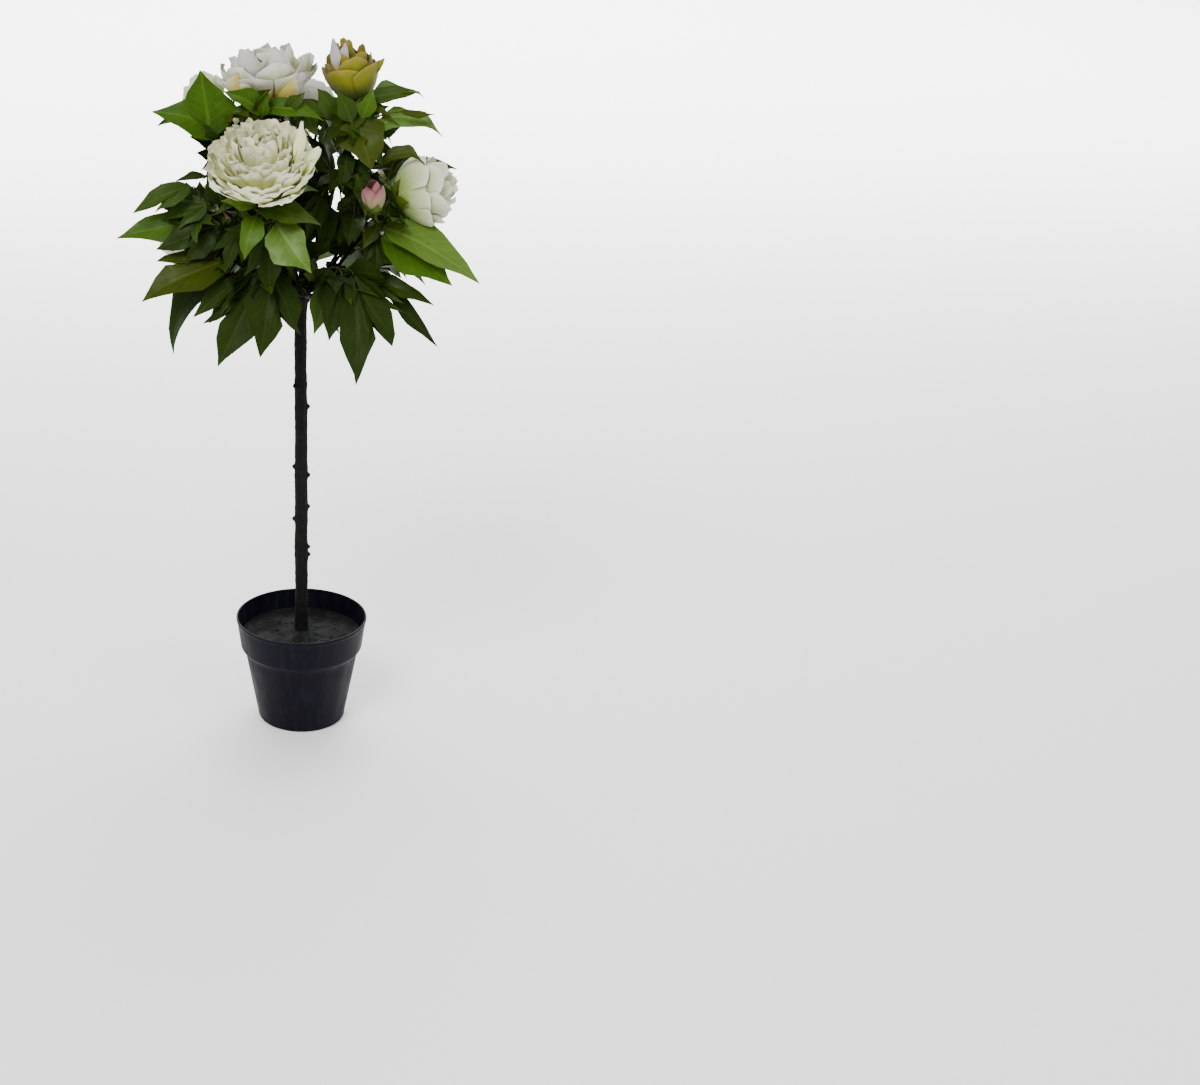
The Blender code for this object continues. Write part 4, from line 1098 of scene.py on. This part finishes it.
def petals(middle, facing, across, depth, style, draw):
    """Petals as surfaces (k, rows, columns, 3). A petal's middle line is a cubic from the bloom's
    foot to its rim on the bloom's oval, by way of the outside or of the middle as its ring wraps;
    across it, it follows a circle round the bloom's axis; its rim is rounded and scalloped by
    shortening rows, and waves grow towards it."""
    axis, first, second = bloom_frame(facing)
    rings = PETAL_RINGS[style]
    index = np.concatenate([np.full(ring[0], n) for n, ring in enumerate(rings)])
    number = np.concatenate([np.arange(ring[0]) for ring in rings])
    count = len(index)
    amount, angle, share, width, flare, wrap = np.array(rings, float)[index].T
    notched, corner, ruffled = PETAL_RIMS[style]
    spin = 2 * np.pi * (number + 0.5 * (index % 2)) / amount + draw.normal(0, 0.10, count)
    angle = np.radians(angle + draw.normal(0, 5, count))
    share = share * (1 + draw.normal(0, 0.04, count))
    rim_r, rim_h = across * share * np.sin(angle), depth * share * np.cos(angle)
    swell = across * (0.55 + 0.45 * np.sin(angle)) * share * (1.06 if style == "bud" else 0.98)
    foot = np.stack([0.10 * swell, np.full(count, -0.86 * depth)])
    low = np.stack([wrap * 0.80 * swell + (1 - wrap) * 0.35 * rim_r, -(0.20 + 0.60 * wrap) * depth])
    around = np.stack([np.maximum(1.12 * swell, rim_r), rim_h * 0.45 - 0.05 * depth])
    straight = np.stack([0.78 * rim_r, 0.72 * rim_h])
    high = wrap * around + (1 - wrap) * straight
    rim = np.stack([rim_r + flare * across, rim_h])
    v = np.linspace(-1, 1, PETAL_COLUMNS)
    t = np.linspace(0.02, 1, PETAL_ROWS)[:, None]
    notch = draw.uniform(0.2, 1.8, (count, 1)) * notched
    notch = notch * bell(v - draw.uniform(-0.3, 0.3, (count, 1)), 0.16)
    scallop = np.sin(v * draw.uniform(6, 9, (count, 1)) + draw.uniform(0, 6, (count, 1)))
    reach = 1 - corner * np.abs(v) ** 2.6 - notch + 0.4 * notched * scallop
    u = np.clip(t * reach[:, None], 0, 1.04)
    line = [spot[..., None, None] for spot in (foot, low, high, rim)]
    r, h = cubic(u, *line)
    slopes = (3 * (1 - u) ** 2, 6 * u * (1 - u), 3 * u * u)
    dr, dh = sum(slope * (end - start) for slope, start, end in zip(slopes, line, line[1:]))
    size = np.maximum(np.hypot(dr, dh), 1e-9)
    half = (np.pi * np.maximum(rim_r, 0.38 * across) / amount * width)[:, None, None]
    half = half * (0.20 + 0.80 * np.sin(np.pi * np.minimum(u, BROADEST) / (2 * BROADEST)) ** 1.2)
    half = half * (1 - 0.30 * np.clip((u - BROADEST) / (1 - BROADEST), 0, 1) ** 2)
    x = half * v
    bow = np.maximum(r, 0.35 * across) * 1.05
    inward = bow * (1 - np.cos(x / bow))
    phase = draw.uniform(0, 2 * np.pi, (count, 3, 1, 1))
    waves = 0.055 * np.sin(4.0 * v + phase[:, 0]) + 0.030 * np.sin(9.5 * v + phase[:, 1]) * u
    lift = across * (u**2 * waves + 0.02 * np.sin(7 * u + phase[:, 2])) * ruffled
    r, h = r - (inward - lift) * dh / size, h + (inward - lift) * dr / size
    cos, sin = np.cos(spin)[:, None, None, None], np.sin(spin)[:, None, None, None]
    radial, around = cos * first + sin * second, cos * second - sin * first
    x = bow * np.sin(x / bow)
    return middle + r[..., None] * radial + x[..., None] * around + h[..., None] * axis


def add_bloom(sheaf, middle, facing, across, depth, style, plan, draw):
    """One bloom's petals into a sheaf, their corners dealt out over the finish, and a tuft of
    upright petals that fills its middle: their tips lie on the bloom's oval, spiralling out from
    its axis by the golden angle with the square root of their number."""
    made = petals(middle, facing, across, depth, style, draw)
    faces, corners = grid(PETAL_ROWS, PETAL_COLUMNS)
    corners = spread_corners(np.clip(corners, 0.01, 0.99), len(made), draw)
    sheaf.add(made.reshape(len(made), -1, 3), (faces, corners))
    if style not in TUFTS:
        return
    amount, spread = TUFTS[style]
    axis, first, second = bloom_frame(facing)
    tuft = []
    for n in range(amount):
        away = math.sqrt((n + 0.4) / amount) * spread * across
        out = spoke(n * GOLDEN_ANGLE + draw.normal(0, 0.2), first, second)
        top = depth * math.sqrt(1 - (away / across) ** 2) * draw.uniform(0.88, 1.0)
        foot, tip = middle - axis * 0.1 * depth + out * away * 0.5, middle + axis * top + out * away
        bend, width = draw.uniform(15, 55), draw.uniform(0.75, 1.0) * across / depth
        tuft.append(bent(foot, tip, out, bend, width,
                         fold=-0.30, wave=0.22, twist=draw.normal(0, 10)))
    add_leaves(sheaf, tuft, plan, draw)


def grow_greens(leaves, middle, facing, across, depth, hub, bud, draw):
    """Sepals that cup a bloom from below, the stalk to its hub and, but for a bud, a few leaves
    under it."""
    axis, first, second = bloom_frame(facing)
    base = middle - axis * depth * 0.92
    start = base - axis * 0.004
    span = np.linalg.norm(start - hub)
    leaves.stalks.append((hub, hub + unit(start - hub) * span * 0.3, start - axis * span * 0.35,
                          base, 0.0016))
    long, out_share, up_share, width = (1.15, 0.75, 1.05, 1.5) if bud else (0.75, 0.95, 0.40, 1.35)
    for n in range(5):
        out = spoke(2 * math.pi * n / 5 + draw.uniform(-0.2, 0.2), first, second)
        size = across * long * draw.uniform(0.9, 1.1)
        tip = base + (out * out_share + axis * up_share) * size
        leaves.add("leaflet", "sepal", base + out * 0.002, tip, axis - out * 0.8, -50, width,
                   wave=0.01)
    for n in range(0 if bud else 4):
        out = spoke(2 * math.pi * (n + 0.5) / 4 + draw.uniform(-0.35, 0.35), first, second)
        size = across * draw.uniform(0.95, 1.15)
        tip = base - axis * 0.006 + (out + axis * draw.uniform(-0.12, 0.18) - UPWARD * 0.10) * size
        if not meets_bloom(base, tip):
            leaves.add("leaflet", near_tone("mid", draw), base - axis * 0.005 + out * 0.006, tip,
                       axis + 0.5 * UPWARD, draw.uniform(20, 50), 1.35)


# ---- the head

# The tones are partly the cloth's own differing greens and partly painted light. Darker tones go to
# leaves low and deep in the head, where shade falls, and paler ones to leaves on top that face the
# light. Each tone's shade colour is painted shade at a leaf's foot.
LEAF_TONES = {  # face, vein, shade, gloss
    "pale": ((0.075, 0.140, 0.014), (0.160, 0.240, 0.050), (0.045, 0.090, 0.007), 0.16),
    "bright": ((0.036, 0.084, 0.003), (0.086, 0.155, 0.014), (0.018, 0.046, 0.0015), 0.09),
    "mid": ((0.023, 0.048, 0.003), (0.060, 0.098, 0.014), (0.012, 0.028, 0.0015), 0.08),
    "olive": ((0.030, 0.044, 0.002), (0.066, 0.084, 0.009), (0.015, 0.025, 0.0015), 0.07),
    "dark": ((0.0125, 0.0255, 0.0018), (0.031, 0.051, 0.007), (0.006, 0.014, 0.0010), 0.05),
    "sepal": ((0.055, 0.090, 0.005), (0.100, 0.140, 0.020), (0.030, 0.054, 0.003), 0.10),
}
PETAL_TINTS = {  # foot, body, rim, how far up the foot's tint fades, where the rim's begins
    "cream": ((0.60, 0.66, 0.14), (0.77, 0.80, 0.41), (0.82, 0.81, 0.60), 0.36, 0.86),
    "blush": ((0.54, 0.38, 0.035), (0.50, 0.52, 0.30), (0.64, 0.62, 0.56), 0.62, 0.88),
    "peach": ((0.36, 0.27, 0.020), (0.44, 0.36, 0.075), (0.52, 0.47, 0.28), 0.70, 0.94),
    "amber": ((0.050, 0.075, 0.001), (0.158, 0.160, 0.002), (0.36, 0.23, 0.06), 0.70, 1.04),
    "white": ((0.21, 0.29, 0.06), (0.46, 0.49, 0.28), (0.67, 0.66, 0.53), 0.76, 0.92),
    "lilac": ((0.44, 0.40, 0.16), (0.56, 0.56, 0.48), (0.54, 0.51, 0.52), 0.46, 0.94),
    # Painted shade: the shaded lilac is a darker copy of the lilac, for petals that stand in shade.
    "shaded_lilac": ((0.30, 0.29, 0.16), (0.40, 0.37, 0.38), (0.38, 0.34, 0.39), 0.50, 0.90),
    "pink": ((0.150, 0.160, 0.050), (0.28, 0.18, 0.115), (0.24, 0.058, 0.095), 0.90, 0.92),
}


def spray_tones(name):
    """Every tone that the long leaves of a spray have."""
    return {leaf[3] for leaf in SPRAYS[name][1]} | {leaf[0] for leaf in PLACED.get(name, ())}


def make_blooms(leaves, hubs, plans, draw):
    """Blooms, buds and single petals, each tint joined into a piece, and the greens under them."""
    tints = {}
    hubs = np.array(list(hubs.values()))
    for name, (at, facing, across, depth, style, tint) in BLOOMS.items():
        sheaf, nodes = tints.setdefault(tint, (Sheaf(), []))
        middle, across, depth = place(*at), metres(across), metres(depth)
        add_bloom(sheaf, middle, facing, across, depth, style, plans["fan"], draw)
        nodes.append(name)
        hub = hubs[np.argmin(np.linalg.norm(hubs - middle, axis=1))]
        grow_greens(leaves, middle, facing, across, depth, hub, style == "bud", draw)
    for tint, plan, foot, tip, width, face, cup, bend in LOOSE_PETALS:
        sheaf, _ = tints.setdefault(tint, (Sheaf(), []))
        row = bent(metres(foot), metres(tip), aim(*face), bend, width / PETAL_WIDE,
                   fold=-cup, wave=0.16)
        add_leaves(sheaf, [row], plans[plan], draw)
    for tint, (sheaf, nodes) in tints.items():
        finish = petal_finish("petal_cloth_" + tint, *PETAL_TINTS[tint])
        sheaf.finish("petals_" + tint, finish, "bud" if tint == "pink" else "petal", nodes)


def make_head(hubs, paths):
    """Leaves, blooms, buds and stalks, each kind and tone joined into a piece of its own."""
    draw = np.random.default_rng(SEED)
    plans = leaf_plans()
    leaves = grow_sprays(hubs, paths, draw)
    make_blooms(leaves, hubs, plans, draw)
    sheaves = {}
    for (tone, plan), rows in leaves.rows.items():
        add_leaves(sheaves.setdefault(tone, Sheaf()), rows, plans[plan], draw)
    for tone, sheaf in sheaves.items():
        nodes = ["leaves_" + name for name in SPRAYS if tone in spray_tones(name)]
        finish = leaf_finish("leaf_cloth_" + tone, *LEAF_TONES[tone])
        sheaf.finish("leaves_" + tone, finish, "leaf", nodes)
    *ends, thick = (np.array(column)[:, None] for column in zip(*leaves.stalks))
    lines = cubic(np.linspace(0, 1, STALK_ROWS)[:, None], *ends)
    radii = thick * np.linspace(1.15, 0.85, STALK_ROWS)
    stalks = Sheaf()
    add_tubes(stalks, lines, radii, STALK_SIDES, reference=(0.37, 0.83, 0.42))
    stalks.finish("stalks", stalk_finish(), "bough")


# ---- floor, light and camera


def make_stage():
    """Wide pale floor, a white surround, three soft lights on the plant and a wide panel that
    hangs level over the floor behind it."""
    scene, half = bpy.context.scene, 24
    mesh = bpy.data.meshes.new("floor")
    mesh.from_pydata([(x * half, y * half, 0) for x, y in ((-1, -1), (1, -1), (1, 1), (-1, 1))],
                     [], [(0, 1, 2, 3)])
    pale = Finish("pale_floor", Roughness=0.9, Specular_IOR_Level=0.1,
                  Base_Color=(0.93, 0.93, 0.93))
    mesh.materials.append(pale.material)
    floor = bpy.data.objects.new("floor", mesh)
    scene.collection.objects.link(floor)
    scene.world = bpy.data.worlds.new("surround")
    scene.world.use_nodes = True
    colour, strength = scene.world.node_tree.nodes["Background"].inputs[:2]
    colour.default_value, strength.default_value = (1.0, 1.0, 1.0, 1), 0.62
    lamps = (  # name, place, what it points at, width, depth, power
        ("key", (-1.0, -2.0, 2.9), (0, 0, 0.55), 1.3, 1.3, 105),
        ("fill", (2.0, -1.6, 1.5), (0, 0, 0.55), 1.4, 1.4, 22),
        ("top", (0.4, 1.5, 2.7), (0, 0, 0.55), 1.5, 1.5, 45),
        ("panel", (0.6, 7.6, 2.1), (0.6, 7.6, 0.0), 11.0, 10.0, 2600),
    )
    for name, spot, target, width, depth, power in lamps:
        light = bpy.data.lights.new(name, "AREA")
        light.shape, light.size, light.size_y, light.energy = "RECTANGLE", width, depth, power
        lamp = bpy.data.objects.new(name, light)
        x, y, z = np.array(target) - np.array(spot)
        lamp.location = spot
        lamp.rotation_euler = (math.atan2(math.hypot(x, y), -z), 0, math.atan2(-x, y))
        lamp.visible_camera = False
        scene.collection.objects.link(lamp)


def make_camera():
    """Camera in front, looking down on the plant, framed with the plant to the left."""
    data = bpy.data.cameras.new("camera")
    data.lens, data.sensor_width, data.shift_x = 54.40, 36, 0.2488
    camera = bpy.data.objects.new("camera", data)
    camera.location = (0, -2.2, 1.1936)
    camera.rotation_euler = (math.radians(66.852), 0, 0)
    bpy.context.scene.collection.objects.link(camera)
    bpy.context.scene.camera = camera


HUBS = {name: place(*hub) for name, (hub, _) in SPRAYS.items()}

make_camera()
make_stage()
make_pot()
make_ballast()
make_head(HUBS, make_stem(HUBS))
